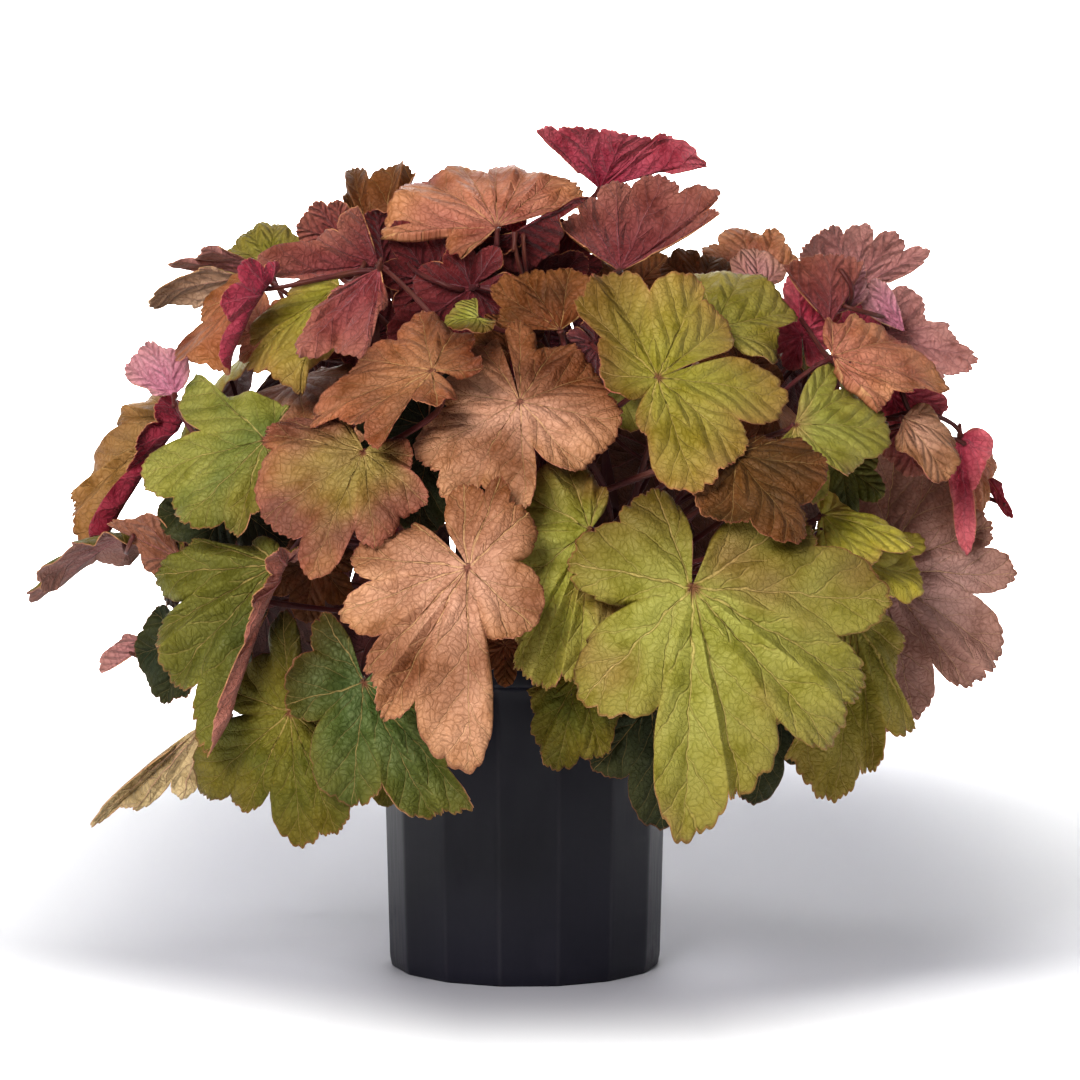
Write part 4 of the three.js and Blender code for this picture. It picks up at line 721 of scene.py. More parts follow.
# ---- leaves: colours and skin ------------------------------------------------------------------------------
# Upper faces run from chartreuse through amber to brown and deep green, some with a silvery mottle.
# Undersides are rose to magenta and finely hairy. Cream veins spread from a dark red spot over the stalk.
# Each look: upper face at the middle, rim and in patches; share of patches; silvering; underside and its rim.
TINTS = {
    "lime": ((154, 151, 68), (141, 128, 54), (150, 111, 70), 0.3, 0.05, (168, 102, 96), (184, 118, 114)),
    "limamb": ((178, 181, 73), (215, 150, 108), (201, 134, 95), 0.45, 0.05, (167, 59, 81), (187, 89, 100)),
    "olive": ((108, 100, 18), (100, 86, 18), (81, 84, 16), 0.4, 0.1, (143, 95, 90), (155, 110, 96)),
    "olvamb": ((141, 121, 59), (155, 92, 72), (117, 71, 54), 0.45, 0.1, (199, 88, 128), (215, 116, 144)),
    "green": ((127, 125, 52), (143, 136, 61), (91, 101, 42), 0.4, 0.1, (139, 81, 80), (161, 101, 94)),
    "silver": ((62, 80, 30), (95, 91, 32), (55, 72, 25), 0.35, 0.8, (125, 90, 86), (147, 106, 96)),
    # The dark look is painted shade: a darkened green for the leaves in the shadowed depths of the plant.
    "dark": ((41, 47, 20), (57, 57, 24), (31, 41, 18), 0.4, 0.1, (94, 59, 58), (107, 70, 66)),
    "amber": ((194, 144, 118), (184, 133, 92), (137, 89, 61), 0.45, 0.05, (188, 88, 110), (201, 110, 124)),
    "orange": ((182, 115, 91), (184, 129, 86), (151, 86, 72), 0.45, 0.05, (129, 25, 51), (151, 43, 67)),
    "ambred": ((152, 116, 64), (146, 101, 56), (105, 74, 37), 0.4, 0.05, (121, 21, 44), (141, 39, 56)),
    "russet": ((157, 106, 69), (151, 90, 61), (109, 67, 41), 0.4, 0.05, (121, 21, 44), (141, 39, 56)),
    "orgred": ((149, 84, 54), (157, 104, 64), (123, 66, 46), 0.4, 0.05, (121, 21, 46), (143, 43, 60)),
    "brown": ((110, 58, 26), (127, 79, 37), (83, 47, 20), 0.4, 0.05, (104, 46, 48), (120, 59, 58)),
    "mauve": ((173, 134, 125), (163, 121, 106), (146, 105, 91), 0.35, 0.05, (174, 102, 109), (184, 117, 118)),
    "red": ((143, 30, 50), (157, 53, 66), (121, 26, 41), 0.3, 0.05, (132, 26, 46), (153, 49, 64)),
    "pink": ((180, 126, 124), (176, 129, 111), (153, 110, 95), 0.3, 0.05, (178, 110, 110), (188, 122, 118)),
    "tan": ((100, 64, 21), (114, 69, 32), (78, 52, 17), 0.4, 0.05, (127, 80, 58), (141, 90, 66)),
    "tanU": ((145, 131, 74), (155, 120, 74), (136, 118, 70), 0.3, 0.05, (178, 153, 111), (193, 169, 125)),
    "pinkU": ((157, 106, 80), (153, 112, 74), (143, 92, 64), 0.3, 0.05, (184, 112, 133), (197, 141, 140)),
    "mauveU": ((145, 110, 74), (155, 122, 82), (134, 98, 66), 0.3, 0.05, (159, 104, 102), (172, 120, 110)),
    "redU": ((168, 92, 65), (174, 109, 72), (143, 79, 57), 0.3, 0.05, (173, 56, 78), (191, 95, 99)),
    "magU": ((164, 99, 64), (172, 117, 72), (145, 90, 60), 0.35, 0.05, (120, 47, 50), (146, 87, 71)),
    "olvU": ((139, 131, 52), (143, 124, 54), (123, 108, 46), 0.3, 0.05, (147, 114, 90), (157, 126, 100)),
    "limfold": ((149, 141, 50), (153, 120, 60), (139, 122, 46), 0.35, 0.05, (153, 53, 70), (172, 80, 88)),
    # The lit lime is painted light: a brighter copy of the lime, for leaves that lie in shade.
    "limeB": ((186, 177, 70), (174, 155, 58), (172, 137, 70), 0.3, 0.05, (168, 102, 94), (184, 118, 110)),
    "greenD": ((92, 90, 30), (103, 98, 32), (70, 74, 24), 0.4, 0.1, (130, 76, 64), (151, 95, 80)),
    # The lit rose is painted light: a brighter, pinker copy of the magenta underside.
    "roseU": ((176, 98, 77), (180, 110, 82), (157, 84, 64), 0.3, 0.05, (170, 57, 80), (188, 88, 98)),
    # The wine shade is painted shade: a darkened copy of the magenta underside, for undersides in the shade
    # of the leaves above.
    "wineU": ((115, 55, 41), (130, 70, 48), (96, 47, 36), 0.3, 0.05, (88, 17, 24), (109, 37, 36)),
}
# The leaves at the back are green below and warmer above, and mix at a height in millimetres.
LOW_MIX = ["green", "olive", "dark", "olive", "lime", "tan", "silver", "olvamb"]
HIGH_MIX = ["amber", "lime", "orange", "limamb", "brown", "olive", "orgred", "olvamb"]
MIX_HEIGHT, MIX_DEPTH = 285, 60
for leaf in grown:
    if leaf["back"]:
        mix = HIGH_MIX if leaf["at"][2] + stray(leaf["seed"], 90, MIX_DEPTH) > MIX_HEIGHT else LOW_MIX
        leaf["look"] = mix[int(draw(leaf["seed"], 91) * len(mix))]


def vein_pattern():
    """
    Node group of masks drawn on a leaf's own coordinates: main veins down each lobe's middle, side veins that
    leave them at a slant and curve outwards, a fine net between, the cells of that net, a soft mottle, and
    how the blade puffs up between the side veins.
    """
    group = bpy.data.node_groups.new("leaf_veins", "ShaderNodeTree")
    for name in ("Main", "Side", "Net", "Cells", "Mottle", "Puff"):
        group.interface.new_socket(name=name, in_out="OUTPUT", socket_type="NodeSocketFloat")
    flat = put(group, "UVMap", uv_map="flat").outputs[0]
    lobe = put(group, "UVMap", uv_map="lobe").outputs[0]
    wander = put(group, "TexNoise", {"Vector": flat, "Scale": 7, "Detail": 3}, noise_dimensions="2D")
    wander = put(group, "VectorMath", {0: wander.outputs["Color"], 1: (0.5, 0.5, 0.5)}, operation="SUBTRACT")

    def bent(place, amount):
        terms = {0: wander.outputs[0], 1: amount, 2: place}
        return put(group, "VectorMath", terms, operation="MULTIPLY_ADD").outputs[0]
    u, v, _ = put(group, "SeparateXYZ", {0: bent(lobe, (0.07, 0.045, 0))}).outputs
    aside = maths(group, "ABSOLUTE", v)
    taper = maths(group, "MAXIMUM", minus(group, 1.0, times(group, u, 0.85)), 0.2)
    main = ramp(group, maths(group, "DIVIDE", aside, taper), 0.003, 0.008, 1, 0)
    slant = minus(group, VEIN_SLANT, times(group, aside, VEIN_CURVE))
    step = minus(group, u, times(group, aside, slant))
    step = plus(group, step, times(group, maths(group, "GREATER_THAN", v, 0), VEIN_STEP / 2))
    beat = maths(group, "FRACT", maths(group, "DIVIDE", step, VEIN_STEP))
    off = minus(group, 0.5, maths(group, "ABSOLUTE", minus(group, beat, 0.5)))
    width = ramp(group, aside, 0.0, 0.30, 0.06, 0.02)
    side = minus(group, 1.0, ramp(group, maths(group, "DIVIDE", off, width), 0.25, 1.0))
    side = times(group, side, ramp(group, u, 0.05, 0.14))
    side = times(group, side, ramp(group, aside, 0.34, 0.06, 0.15, 1))
    puff = times(group, ramp(group, off, 0.0, 0.42), ramp(group, aside, 0.0, 0.06))
    warp = bent(flat, (0.09, 0.09, 0))
    edge, fine = [put(group, "TexVoronoi", {"Vector": warp, "Scale": scale}, feature="DISTANCE_TO_EDGE",
                      voronoi_dimensions="2D").outputs[0] for scale in (30, 72)]
    net = maths(group, "MAXIMUM", ramp(group, edge, 0.0, 0.075, 1, 0),
                times(group, ramp(group, fine, 0.0, 0.12, 1, 0), 0.45))
    cells = plus(group, times(group, ramp(group, edge, 0.0, 0.4), 0.75),
                 times(group, ramp(group, fine, 0.0, 0.4), 0.25))
    mottle = noise(group, flat, 5, 6, 0.62, noise_dimensions="2D")
    out = group.nodes.new("NodeGroupOutput")
    for k, value in enumerate((main, side, net, cells, mottle, puff)):
        group.links.new(value, out.inputs[k])
    return group


leaf_veins = vein_pattern()


def leaf_skin(name, under):
    """Material of one face of the blades, its base colour and details read from the points' attributes."""
    material, tree, surface = shader(name, 0.5, Specular_IOR_Level=0.24, Sheen_Weight=0.12 if under else 0.0,
                                     Sheen_Roughness=0.5)

    def toned(value, richness):
        return put(tree, "HueSaturation", {"Value": value, "Saturation": richness, "Color": tint}).outputs[0]
    main, side, net, cells, mottle, puff = put(tree, "Group", node_tree=leaf_veins).outputs
    tint = put(tree, "Attribute", attribute_name="tint").outputs["Color"]
    detail = put(tree, "Attribute", attribute_name="detail").outputs["Color"]
    silver, rim, netted = put(tree, "SeparateColor", {0: detail}).outputs
    dark, light = toned(0.56 if under else 0.62, 1.12), toned(1.12, 0.95)
    shade = blend(tree, ramp(tree, mottle, 0.36, 0.66), light, tint)
    shade = blend(tree, ramp(tree, mottle, 0.50, 0.76, 0, 0.95 if under else 0.75), shade, dark)
    # Painted shade and highlight on the puckers: each cell of the net is darker at its edges and lighter in
    # its middle.
    shade = blend(tree, times(tree, ramp(tree, cells, 0.6, 0.0), 0.22), shade, dark)
    shade = blend(tree, times(tree, ramp(tree, cells, 0.5, 0.95), 0.28), shade, light)
    if not under:
        # Silvered leaves are frosted in the cells of the net, most around the stalk.
        bloom = times(tree, ramp(tree, cells, 0.2, 0.9, 0.5, 1), ramp(tree, mottle, 0.66, 0.40, 0.1, 1))
        frost = times(tree, silver, times(tree, bloom, ramp(tree, rim, 0.98, 0.45)))
        shade = blend(tree, times(tree, frost, 0.42), shade, linear(128, 136, 92))
    shade = blend(tree, times(tree, net, times(tree, netted, 0.38)), shade, dark)
    pale = blend(tree, 0.45, light, linear(196, 100, 112) if under else linear(222, 184, 122))
    shown = maths(tree, "MAXIMUM", times(tree, main, 0.4 if under else 0.66),
                  times(tree, side, 0.14 if under else 0.22))
    shade = blend(tree, shown, shade, pale)
    if not under:
        # The very rim is reddish.
        shade = blend(tree, ramp(tree, rim, 0.978, 0.994, 0, 0.38), shade, linear(158, 92, 70))
    # Both faces have the dark red spot over the stalk.
    shade = blend(tree, ramp(tree, rim, 0.07, 0.02, 0, 0.8), shade, linear(96, 34, 34))
    rough = ramp(tree, mottle, 0.3, 0.7, 0.58, 0.68) if under else ramp(tree, mottle, 0.3, 0.7, 0.5, 0.62)
    fuzz = noise(tree, put(tree, "UVMap", uv_map="flat").outputs[0], 60, 4, noise_dimensions="2D")
    ribs = plus(tree, times(tree, main, 0.5), times(tree, side, 0.35), times(tree, net, 0.12))
    cushions = times(tree, times(tree, cells, netted), 0.18)
    swell = plus(tree, times(tree, puff, 0.55), cushions, times(tree, fuzz, 0.12))
    # Veins are sunk into the upper face and stand out of the underside.
    height = minus(tree, ribs, swell) if under else minus(tree, swell, ribs)
    wire(tree, surface, shade, height, 0.003, 0.8, rough)
    return material


leaf_upper, leaf_under = leaf_skin("leaf_upper", False), leaf_skin("leaf_under", True)

# The stalks are reddish brown to wine red, satin, and finely hairy.
stalk_skin, tree, surface = shader("leaf_stalk", 0.5, Specular_IOR_Level=0.3, Sheen_Weight=0.05)
place = put(tree, "TexCoord").outputs["Object"]
streak = noise(tree, place, 60, 4)
hair = noise(tree, place, 1500, 2)
high = put(tree, "SeparateXYZ", {0: place}).outputs[2]
shade = blend(tree, ramp(tree, streak, 0.3, 0.7), linear(76, 24, 28), linear(88, 44, 32))
# Down at the crown they turn woody and brown.
shade = blend(tree, ramp(tree, high, 0.19, 0.165), shade, linear(60, 42, 30))
wire(tree, surface, shade, hair, 0.0003, 0.6)


PATCH = 46  # length of the waves of the patches, where a leaf's size is 50
LOBE_SHADE_LOSS = np.array([0.52, 0.66, 0.78])  # share of red, green and blue that the painted shade takes off the lobes beside the stalk, where it is deepest
NET_ON_LIME, NET_ON_OTHERS = 0.35, 0.8  # how plainly the net shows
UNDER_BACK = 0.6  # brightness of the undersides at the back: painted shade


def tint_of(leaf, share, s, x, y, under):
    """
    Linear colour and details of the blade's points: the middle's colour runs into the rim's, and soft patches
    from crossed waves lie over both. Details are silvering, the share of the way to the rim, and how plainly
    the net shows.
    """
    mid, rim, patch, amount, silver, back, back_rim = TINTS[leaf["look"]]
    seed, size = leaf["seed"], leaf["size"]
    across, up = x / size * 50 + 40 * draw(seed, 70), y / size * 50 + 40 * draw(seed, 71)
    cloud = 0.5 + 0.28 * crumble(across, up, PATCH)
    outward = (share ** 2 * (0.6 + 0.8 * cloud))[..., None].clip(0, 1)
    first, last = (back, back_rim) if under else (mid, rim)
    colour = linear(*first) * (1 - outward) + linear(*last) * outward
    if not under:
        cover = np.clip((cloud - 1 + amount * 1.4) * 2.5, 0, 1)[..., None]
        colour = colour * (1 - cover) + linear(*patch) * cover
        # The lobes beside the stalk are darker and browner than the one opposite: painted shade, where they
        # lie in shadow.
        lobe_shade = np.clip((0.06 - x / size) / 0.4, 0, 1)[..., None] * (0.65 + 0.35 * draw(seed, 73))
        colour = colour * (1 - lobe_shade * LOBE_SHADE_LOSS)
    shaded = UNDER_BACK if under and leaf["back"] else 1
    value = (0.9 + 0.2 * draw(seed, 72)) * shaded * (1 + 0.06 * (s ** 2 - 0.4))
    tint = np.concatenate([colour * value[..., None], np.ones_like(outward)], -1)
    netted = NET_ON_LIME if leaf["look"].startswith("lim") else NET_ON_OTHERS
    detail = np.stack([silver + 0 * share, share, netted + 0 * share, 1 + 0 * share], -1)
    return tint, detail


def tube(path, radii, sides=10):
    """Closed round tube along a path: a ring square to it at each point, and a point at each end."""
    way = np.gradient(path, axis=0)
    way /= np.linalg.norm(way, axis=1)[:, None]
    side = np.cross(way, [0.31, 0.2, 0.93])
    side /= np.linalg.norm(side, axis=1)[:, None]
    across = np.cross(way, side)
    a = np.radians(np.arange(sides) * 360 / sides)[None, :, None]
    rings = path[:, None] + radii[:, None, None] * (np.cos(a) * side[:, None] + np.sin(a) * across[:, None])
    points = np.concatenate([rings.reshape(-1, 3), path[:1], path[-1:]])
    n, j = len(path) * sides, np.arange(sides)
    k = (j + 1) % sides
    ends = [np.stack([n + 0 * j, k, j], -1), np.stack([n + 1 + 0 * j, n - sides + j, n - sides + k], -1)]
    return points, grid_faces(len(path), sides), np.concatenate(ends)


UPPER, UNDER, STALK, WALL = range(4)  # what a face belongs to; a wall shares the upper face's material
STALK_END = 1.65  # depth of a plain stalk's end under the middle of its blade, millimetres
STALK_TURNS = ((0.66, 0), (0.66, 45), (0.66, -45), (0.3, 0), (0.9, 0), (0.66, 90), (0.66, -90), (0.3, 180))
STALK_TEST = dict(down=8, near=1.75, corners=3)  # millimetres down the way and off it, and corners there


def stalk_way(leaf):
    """
    Direction in which the leaf's own stalk comes up to it, or None if it hangs on a branch: the tilt and turn
    for which enough corners of the plain stalk lie close to a point a little way down it.
    """
    top = leaf["at"] - STALK_END * leaf["up"]
    for tilt, angle in STALK_TURNS:
        way = turn(leaf["tip"], leaf["up"], angle) * tilt + leaf["up"] * np.sqrt(1 - tilt * tilt)
        off = np.linalg.norm(corners["crown"] - (top - STALK_TEST["down"] * way), axis=1)
        if (off < STALK_TEST["near"]).sum() >= STALK_TEST["corners"]:
            return way
    return None


def stalk_end(leaf):
    """The last centimetre of the leaf's own stalk, which swells a little where it meets the blade."""
    way = stalk_way(leaf)
    if way is None:
        return None
    run = np.array([9.5, 7.5, 5.5, 3.5, 2.2, 1.3, 0.7, 0.25])  # millimetres to go
    foot = leaf["at"] - STALK_END * leaf["up"]
    path = foot - way * run[:, None] + leaf["up"] * (STALK_END * np.exp(-run / 2.2))[:, None]
    points, quads, ends = tube(path, np.array([1.05, 1.15, 1.2, 1.3, 1.5, 1.75, 1.95, 1.9]))
    n = len(points)
    return dict(points=points, flat=np.zeros((n, 2)), tint=np.ones((n, 4)), detail=np.zeros((n, 4)),
                quads=quads, quad_lobes=np.zeros((len(quads), 4, 2)), quad_kinds=np.full(len(quads), STALK),
                tris=ends, tri_lobes=np.zeros((len(ends), 3, 2)), tri_kinds=np.full(len(ends), STALK))


# Points across each lobe, and rows from stalk to rim.
FINE_GRID = {"large": (40, 14), "middling": (32, 11), "small": (24, 8), "back": (22, 8)}
BESIDE_VEIN, VEIN_CLEAR = 0.06, 0.07  # columns that flank each vein, and how far the others keep from it
HEART, OUT = 0.045, 0.915  # share of the way to the rim at the first row, and from there to the last but one


def fine_blade(leaf):
    """
    A blade as a closed thin skin: a grid of angles and shares of the way to the rim, shifted to both sides
    along its normals and joined by a narrow wall. Gives points, faces, and what each face and corner carries.
    """
    size = leaf["size"]
    kind = "back" if leaf["back"] else "large" if size > LARGE else "middling" if size > MIDDLING else "small"
    per_lobe, rows = FINE_GRID[kind]
    places = np.linspace(-1, 1, per_lobe + 1)[:-1]
    places = places[np.abs(places) > VEIN_CLEAR]
    places = np.sort(np.concatenate([places, [-BESIDE_VEIN, 0, BESIDE_VEIN]]))
    angle = lobe_angles(leaf, lambda wide: places)
    angle = angle[np.concatenate([[True], np.diff(angle) > 0.03])]
    share = np.concatenate([HEART + OUT * np.linspace(0, 1, rows - 1) ** 0.85, [1.0]])
    angles, shares = np.meshgrid(angle, share)
    middle = blade_surface(leaf, angles, shares)
    reach, s, _ = reach_at(angles, leaf, True)
    outward, onward = np.gradient(middle, axis=0), np.gradient(middle, axis=1)
    normal = np.cross(outward, onward)
    normal /= np.linalg.norm(normal, axis=-1)[..., None]
    heart = np.concatenate([leaf["at"][None], middle.reshape(-1, 3)])
    normals = np.concatenate([leaf["up"][None], normal.reshape(-1, 3)])
    n, columns = len(heart), len(angle)
    points = np.concatenate([heart + normals * BLADE / 2, heart - normals * BLADE / 2])
    # Faces of the upper side, row by row, then the fan round the stalk.
    i, j = [m.ravel() for m in np.meshgrid(np.arange(rows - 1), np.arange(columns - 1), indexing="ij")]
    quad_rows = np.stack([i, i + 1, i + 1, i], -1)
    quad_columns = np.stack([j, j, j + 1, j + 1], -1)
    quads = 1 + quad_rows * columns + quad_columns
    j = np.arange(columns - 1)
    fan = np.stack([0 * j, 1 + j, 2 + j], -1)
    # The wall runs out along one side of the sinus, round the rim, and back along the other side.
    outer = 1 + columns * np.arange(rows - 1)
    last = 1 + columns * (rows - 1) + np.arange(columns)
    border = np.concatenate([[0], outer, last, outer[::-1] + columns - 1])
    after = np.roll(border, -1)
    wall = np.stack([border, border + n, after + n, after], -1)
    radius, turned = reach * shares, np.radians(angles)
    x, y = radius * np.cos(turned), radius * np.sin(turned)
    flat_xy = np.concatenate([[[0, 0]], np.stack([x, y], -1).reshape(-1, 2)])
    # A corner's place in its lobe: how far along and aside of the lobe's own vein it lies.
    centre = 0.5 * (angle[1:] + angle[:-1])
    vein = leaf["ring"][1 + 2 * reach_at(centre, leaf, True)[2], 0]

    def in_lobe(row, column, face_column):
        off = np.radians(angle[column] - vein[face_column])
        away = np.where(row < 0, 0, radius[np.maximum(row, 0), column]) / size
        return np.stack([away * np.cos(off), away * np.sin(off)], -1)
    lobe_quads = in_lobe(quad_rows, quad_columns, np.repeat(quad_columns[:, :1], 4, axis=1))
    fan_columns = np.stack([j, j, j + 1], -1)
    lobe_fan = in_lobe(np.stack([-1 + 0 * j, 0 * j, 0 * j], -1), fan_columns, np.stack([j, j, j], -1))
    pos_x, pos_y = flat_xy.T
    all_share, all_s = np.concatenate([[0], shares.ravel()]), np.concatenate([[0], s.ravel()])
    above = tint_of(leaf, all_share, all_s, pos_x, pos_y, False)
    below = tint_of(leaf, all_share, all_s, pos_x, pos_y, True)
    # No two blades share a stretch of the patterns.
    flat = flat_xy / 100 + np.array([draw(leaf["seed"], 95), draw(leaf["seed"], 96)]) * 40
    return dict(
        points=points, flat=np.concatenate([flat, flat]),
        tint=np.concatenate([above[0], below[0]]), detail=np.concatenate([above[1], below[1]]),
        quads=np.concatenate([quads, n + quads[:, ::-1], wall]),
        quad_lobes=np.concatenate([lobe_quads, lobe_quads[:, ::-1], np.zeros((len(wall), 4, 2))]),
        quad_kinds=np.repeat([UPPER, UNDER, WALL], [len(quads), len(quads), len(wall)]),
        tris=np.concatenate([fan, n + fan[:, ::-1]]), tri_lobes=np.concatenate([lobe_fan, lobe_fan[:, ::-1]]),
        tri_kinds=np.repeat([UPPER, UNDER], len(fan)))


def leaf_piece(node, leaves, plain=True):
    """The blades of one piece, each with the end of its stalk, as one mesh that replaces its plain solid."""
    parts = [part for leaf in leaves for part in (fine_blade(leaf), stalk_end(leaf)) if part]
    starts = np.cumsum([0] + [len(part["points"]) for part in parts])
    quads, tris = [np.concatenate([start + part[key] for start, part in zip(starts, parts)])
                   for key in ("quads", "tris")]
    whole = {key: np.concatenate([part[key] for part in parts]) for key in parts[0]}
    kinds = np.concatenate([whole["quad_kinds"], whole["tri_kinds"]])
    piece = new_piece(node.replace("leaf_", "leaves_"), whole["points"], [quads, tris],
                      [leaf_upper, leaf_under, stalk_skin], smooth=kinds != WALL,
                      material_of=(kinds % WALL).astype(np.int32))
    mesh = piece.data
    corners_of = np.concatenate([quads.ravel(), tris.ravel()])
    lobe = np.concatenate([whole[key].reshape(-1, 2) for key in ("quad_lobes", "tri_lobes")])
    for name, values in (("lobe", lobe), ("flat", whole["flat"][corners_of])):
        mesh.uv_layers.new(name=name).data.foreach_set("uv", values.astype(np.float32).ravel())
    for name in ("tint", "detail"):
        layer = mesh.color_attributes.new(name=name, type="FLOAT_COLOR", domain="POINT")
        layer.data.foreach_set("color", whole[name].astype(np.float32).ravel())
    if plain:
        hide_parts(node)


by_piece = {}
for leaf in grown:
    by_piece.setdefault(leaf["node"], []).append(leaf)
for node, leaves in by_piece.items():
    leaf_piece(node, leaves)

# ---- inner leaves ------------------------------------------------------------------------------------------
# Nine small leaves deep in the shade, seen only in the gaps between the others, on thin stalks of their own
# that curve up out of the crown.
INNER = """
inner_1 | wineU | 384,268 | 26 | 0 90 30 | 0 0 | 10 0 | 380,205 1.0
inner_2 | wineU | 452,262 | 20 | 0 90 30 | 0 0 | 10 0 | 446,212 1.1
inner_3 | brown | 508,352 | 104 | 0 -90 30 | 0 0 | 10 0 | 496,306 1.0
inner_4 | brown | 742,372 | 82 | 0 -90 30 | 0 0 | 10 0 | 730,320 1.0
inner_5 | wineU | 560,262 | 14 | 0 90 30 | 0 0 | 10 0 | 556,216 1.2
inner_6 | wineU | 370,338 | 30 | 0 90 30 | 0 0 | 10 0 | 368,272 1.1
inner_7 | wineU | 500,275 | 6 | 0 90 30 | 0 0 | 10 0 | 504,222 1.1
inner_8 | redU | 508,252 | -12 | 0 90 30 | 0 0 | 10 0 | 514,198 1.0
inner_9 | roseU | 858,334 | -34 | 0 90 30 | 0 0 | 10 0 | 864,288 1.0
"""
INNER_SEED = 301
inner = [front_leaf(line, INNER_SEED + i) for i, line in enumerate(INNER.strip().split("\n"))]
leaf_piece("leaf_inner", inner, False)
INNER_ROOT = np.array([0, 0, 168.0])  # middle of the stalks' feet
INNER_SPREAD = 6  # their distance from it
INNER_RADIUS, INNER_POINTS, INNER_SIDES = 1.0, 18, 8
INNER_SEAT = 1.2  # depth of a stalk's end under the middle of its blade
INNER_KNEE_OUT, INNER_KNEE_UP = 0.25, 20  # distance out of the bend, of the leaf's, and its lift
INNER_BENDS = (0.5, 0.5, 1.1, 0.5, 0.75, 0.6, 0.75, 0.75, 1.07)  # height of the bend, of the leaf's height
ways = []
for leaf, bend in zip(inner, INNER_BENDS):
    t, top = np.linspace(0, 1, INNER_POINTS)[:, None], leaf["at"] - INNER_SEAT * leaf["up"]
    knee = np.array([INNER_KNEE_OUT * top[0], INNER_KNEE_OUT * top[1], bend * top[2] + INNER_KNEE_UP])
    root = INNER_ROOT + INNER_SPREAD * unit([top[0], top[1], 0])
    path = root * (1 - t) ** 2 + knee * 2 * t * (1 - t) + top * t * t
    ways.append(tube(path, np.full(INNER_POINTS, INNER_RADIUS), INNER_SIDES))
starts = np.cumsum([0] + [len(points) for points, _, _ in ways])
quads = np.concatenate([start + faces for start, (_, faces, _) in zip(starts, ways)])
ends = np.concatenate([start + faces for start, (_, _, faces) in zip(starts, ways)])
points = np.concatenate([points for points, _, _ in ways])
new_piece("inner_stalks", points, [quads, ends], [stalk_skin])

# ---- crown and stalks --------------------------------------------------------------------------------------
# A woody crown at soil level, brown and knobbly, from which every leaf stalk springs. Branches join the
# leaves that grow in tufts. All of it is one mesh, rounded from the three-sided stalks of the plain part.
STALK_SWELL = 1.05  # millimetres that rounding would otherwise take off
WOOD_TOP = 186  # height up to which the crown is wood and isn't swollen
ON_BLADE = 0.62  # a tuft's points this near to a blade's belong to it and are cut away, millimetres
CAP_LIFT = 1.3  # how far the cut end of a branch is pushed out to meet its leaf, millimetres


def welded(node):
    """Mesh of a plain solid as a bmesh in millimetres, its loose triangles joined."""
    made = bmesh.new()
    made.from_mesh(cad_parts[node].data)
    bmesh.ops.scale(made, vec=(1000, 1000, 1000), verts=made.verts)
    bmesh.ops.remove_doubles(made, verts=made.verts, dist=0.002)
    return made


def swollen(made, low):
    """Points pushed out along their normals, except those below a height."""
    made.normal_update()
    for vert, normal in [(vert, vert.normal.copy()) for vert in made.verts]:
        if vert.co.z > low:
            vert.co += normal * STALK_SWELL


woody = welded("crown")
swollen(woody, WOOD_TOP)
stalk_mesh = bpy.data.meshes.new("crown_and_stalks")
for node, leaves in by_piece.items():
    if len(leaves) == 1:
        continue
    tuft = welded(node)
    blades = np.concatenate([coarse_points(leaf) for leaf in leaves])
    where = np.array([vert.co[:] for vert in tuft.verts])
    near = nearest(where, blades) < ON_BLADE
    bmesh.ops.delete(tuft, geom=[vert for vert, gone in zip(list(tuft.verts), near) if gone], context="VERTS")
    open_edges = [edge for edge in tuft.edges if edge.is_boundary]
    caps = bmesh.ops.holes_fill(tuft, edges=open_edges, sides=3)["faces"]
    tuft.normal_update()
    shift = {vert: face.normal * CAP_LIFT for face in caps for vert in face.verts}
    swollen(tuft, -np.inf)
    for vert, move in shift.items():
        vert.co += move
    tuft.to_mesh(stalk_mesh)
    woody.from_mesh(stalk_mesh)
    tuft.free()
bmesh.ops.scale(woody, vec=(0.001, 0.001, 0.001), verts=woody.verts)
for face in woody.faces:
    face.smooth = True
woody.to_mesh(stalk_mesh)
woody.free()
stalk_mesh.materials.clear()
stalk_mesh.materials.append(stalk_skin)
stalks = placed("crown_and_stalks", stalk_mesh)
rounding = stalks.modifiers.new("rounding", "SUBSURF")
rounding.levels = rounding.render_levels = 2
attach(stalks, "root")
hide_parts("crown")

# ---- floor, light and camera -------------------------------------------------------------------------------
# A pale sweep under broad soft lamps, seen from a little above the pot's middle.
sweep_white, tree, surface = shader("pale_sweep", 0.8, Specular_IOR_Level=0.1)
place = put(tree, "TexCoord").outputs["Object"]
across, back, _ = put(tree, "SeparateXYZ", {0: place}).outputs
# The sweep has a painted shadow around and behind the pot, which fades out far back and to the sides.
beside = minus(tree, maths(tree, "ABSOLUTE", minus(tree, across, 0.03)), 0.06)
aside = times(tree, maths(tree, "MAXIMUM", beside, 0.0), 0.6)
near = ramp(tree, minus(tree, back, aside), -0.29, -0.08)
far = ramp(tree, back, 2.1, 0.85)
wide = ramp(tree, maths(tree, "ABSOLUTE", minus(tree, across, 0.02)), 0.50, 0.19, 0.1, 1)
painted_shadow = times(tree, times(tree, near, far), wide)
tree.links.new(blend(tree, painted_shadow, (0.88, 0.88, 0.88), (0.46, 0.46, 0.495)), surface.inputs["Base Color"])
# Outside the painted shadow the sweep glows a little: painted light that keeps it white.
tree.links.new(blend(tree, painted_shadow, (1, 1, 1), (0, 0, 0)), surface.inputs["Emission Color"])
surface.inputs["Emission Strength"].default_value = 0.3
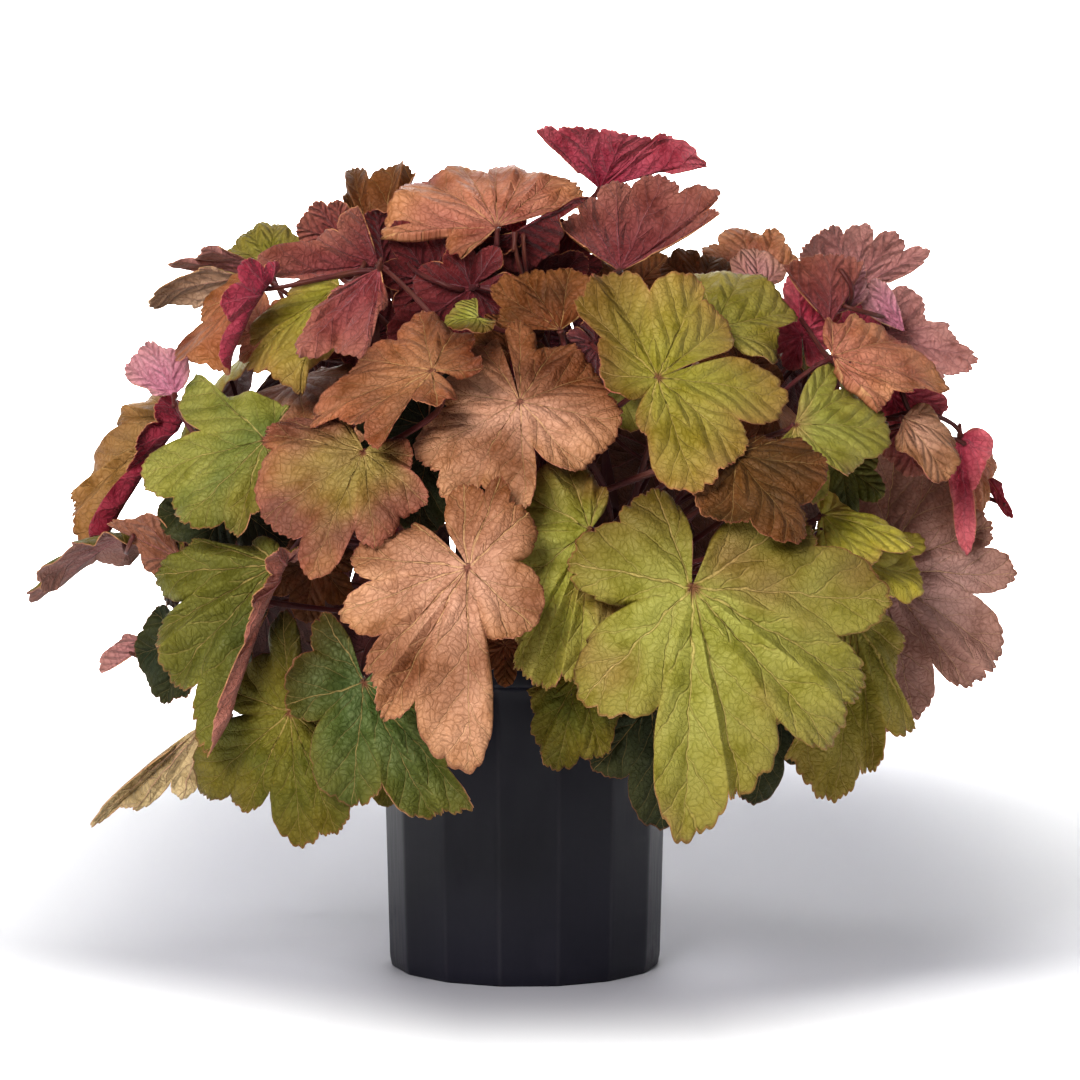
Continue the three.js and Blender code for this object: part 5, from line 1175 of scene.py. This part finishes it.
# Metres: flat from the front to the bend, round it by six degrees at a time, then straight up.
SWEEP_BEND, SWEEP_RADIUS, SWEEP_HALF = 1.6, 1.2, 9.0
bend = np.radians(np.arange(6, 91, 6))
flat, upright = [-SWEEP_HALF, -1.0, 0.0, 1.0, SWEEP_BEND], [2.2, 4.0]
steps = np.concatenate([flat, SWEEP_BEND + SWEEP_RADIUS * np.sin(bend), [SWEEP_BEND + SWEEP_RADIUS] * 2])
rise = np.concatenate([np.zeros(len(flat)), SWEEP_RADIUS * (1 - np.cos(bend)), upright])
grid = [(x, y, z) for y, z in zip(steps, rise) for x in (-SWEEP_HALF, SWEEP_HALF)]
mesh = bpy.data.meshes.new("sweep")
mesh.from_pydata(grid, [], [(2 * i, 2 * i + 1, 2 * i + 3, 2 * i + 2) for i in range(len(steps) - 1)])
mesh.polygons.foreach_set("use_smooth", np.ones(len(mesh.polygons), bool))
mesh.materials.append(sweep_white)
sweep = placed("sweep", mesh)


def softbox(name, at, aim, size, power, spread=180):
    """Square lamp, its size in metres, turned to face a point, its light kept to a spread in degrees."""
    lamp = bpy.data.lights.new(name, "AREA")
    lamp.shape, lamp.size, lamp.energy, lamp.spread = "SQUARE", size, power, np.radians(spread)
    made = placed(name, lamp)
    made.location = at
    made.rotation_euler = (Vector(aim) - made.location).to_track_quat("-Z", "Y").to_euler()


softbox("lamp_front", (-0.7, -1.9, 1.25), (0, 0, 0.26), 0.8, 50)
softbox("lamp_over", (0.1, -0.3, 2.2), (0, 0, 0.2), 1.2, 10)
softbox("lamp_left", (-1.8, 0.2, 0.5), (0, 0, 0.2), 0.8, 3)
softbox("lamp_right", (1.8, 0.2, 0.5), (0, 0, 0.2), 0.8, 3)
softbox("lamp_behind", (0, 1.3, 2.4), (0, 2.6, 0.9), 2.4, 120, 70)
world = bpy.data.worlds.new("studio")
world.use_nodes = True
world.node_tree.nodes["Background"].inputs[0].default_value = (1, 1, 1, 1)
world.node_tree.nodes["Background"].inputs[1].default_value = 0.05
bpy.context.scene.world = world
bpy.context.scene.view_settings.view_transform = "Standard"
bpy.context.scene.view_settings.look = "Medium High Contrast"

SENSOR = 36
eye = bpy.data.cameras.new("viewpoint")
eye.sensor_width = eye.sensor_height = SENSOR
eye.sensor_fit = "HORIZONTAL"
eye.lens = SENSOR * VIEW["scale"] / VIEW["side"]
eye.clip_start, eye.clip_end = 0.05, 50
camera = placed("viewpoint", eye)
camera.location = [c / 1000 for c in VIEW["eye"]]
camera.rotation_euler = (np.radians(90 - VIEW["tilt"]), 0, 0)
bpy.context.scene.camera = camera
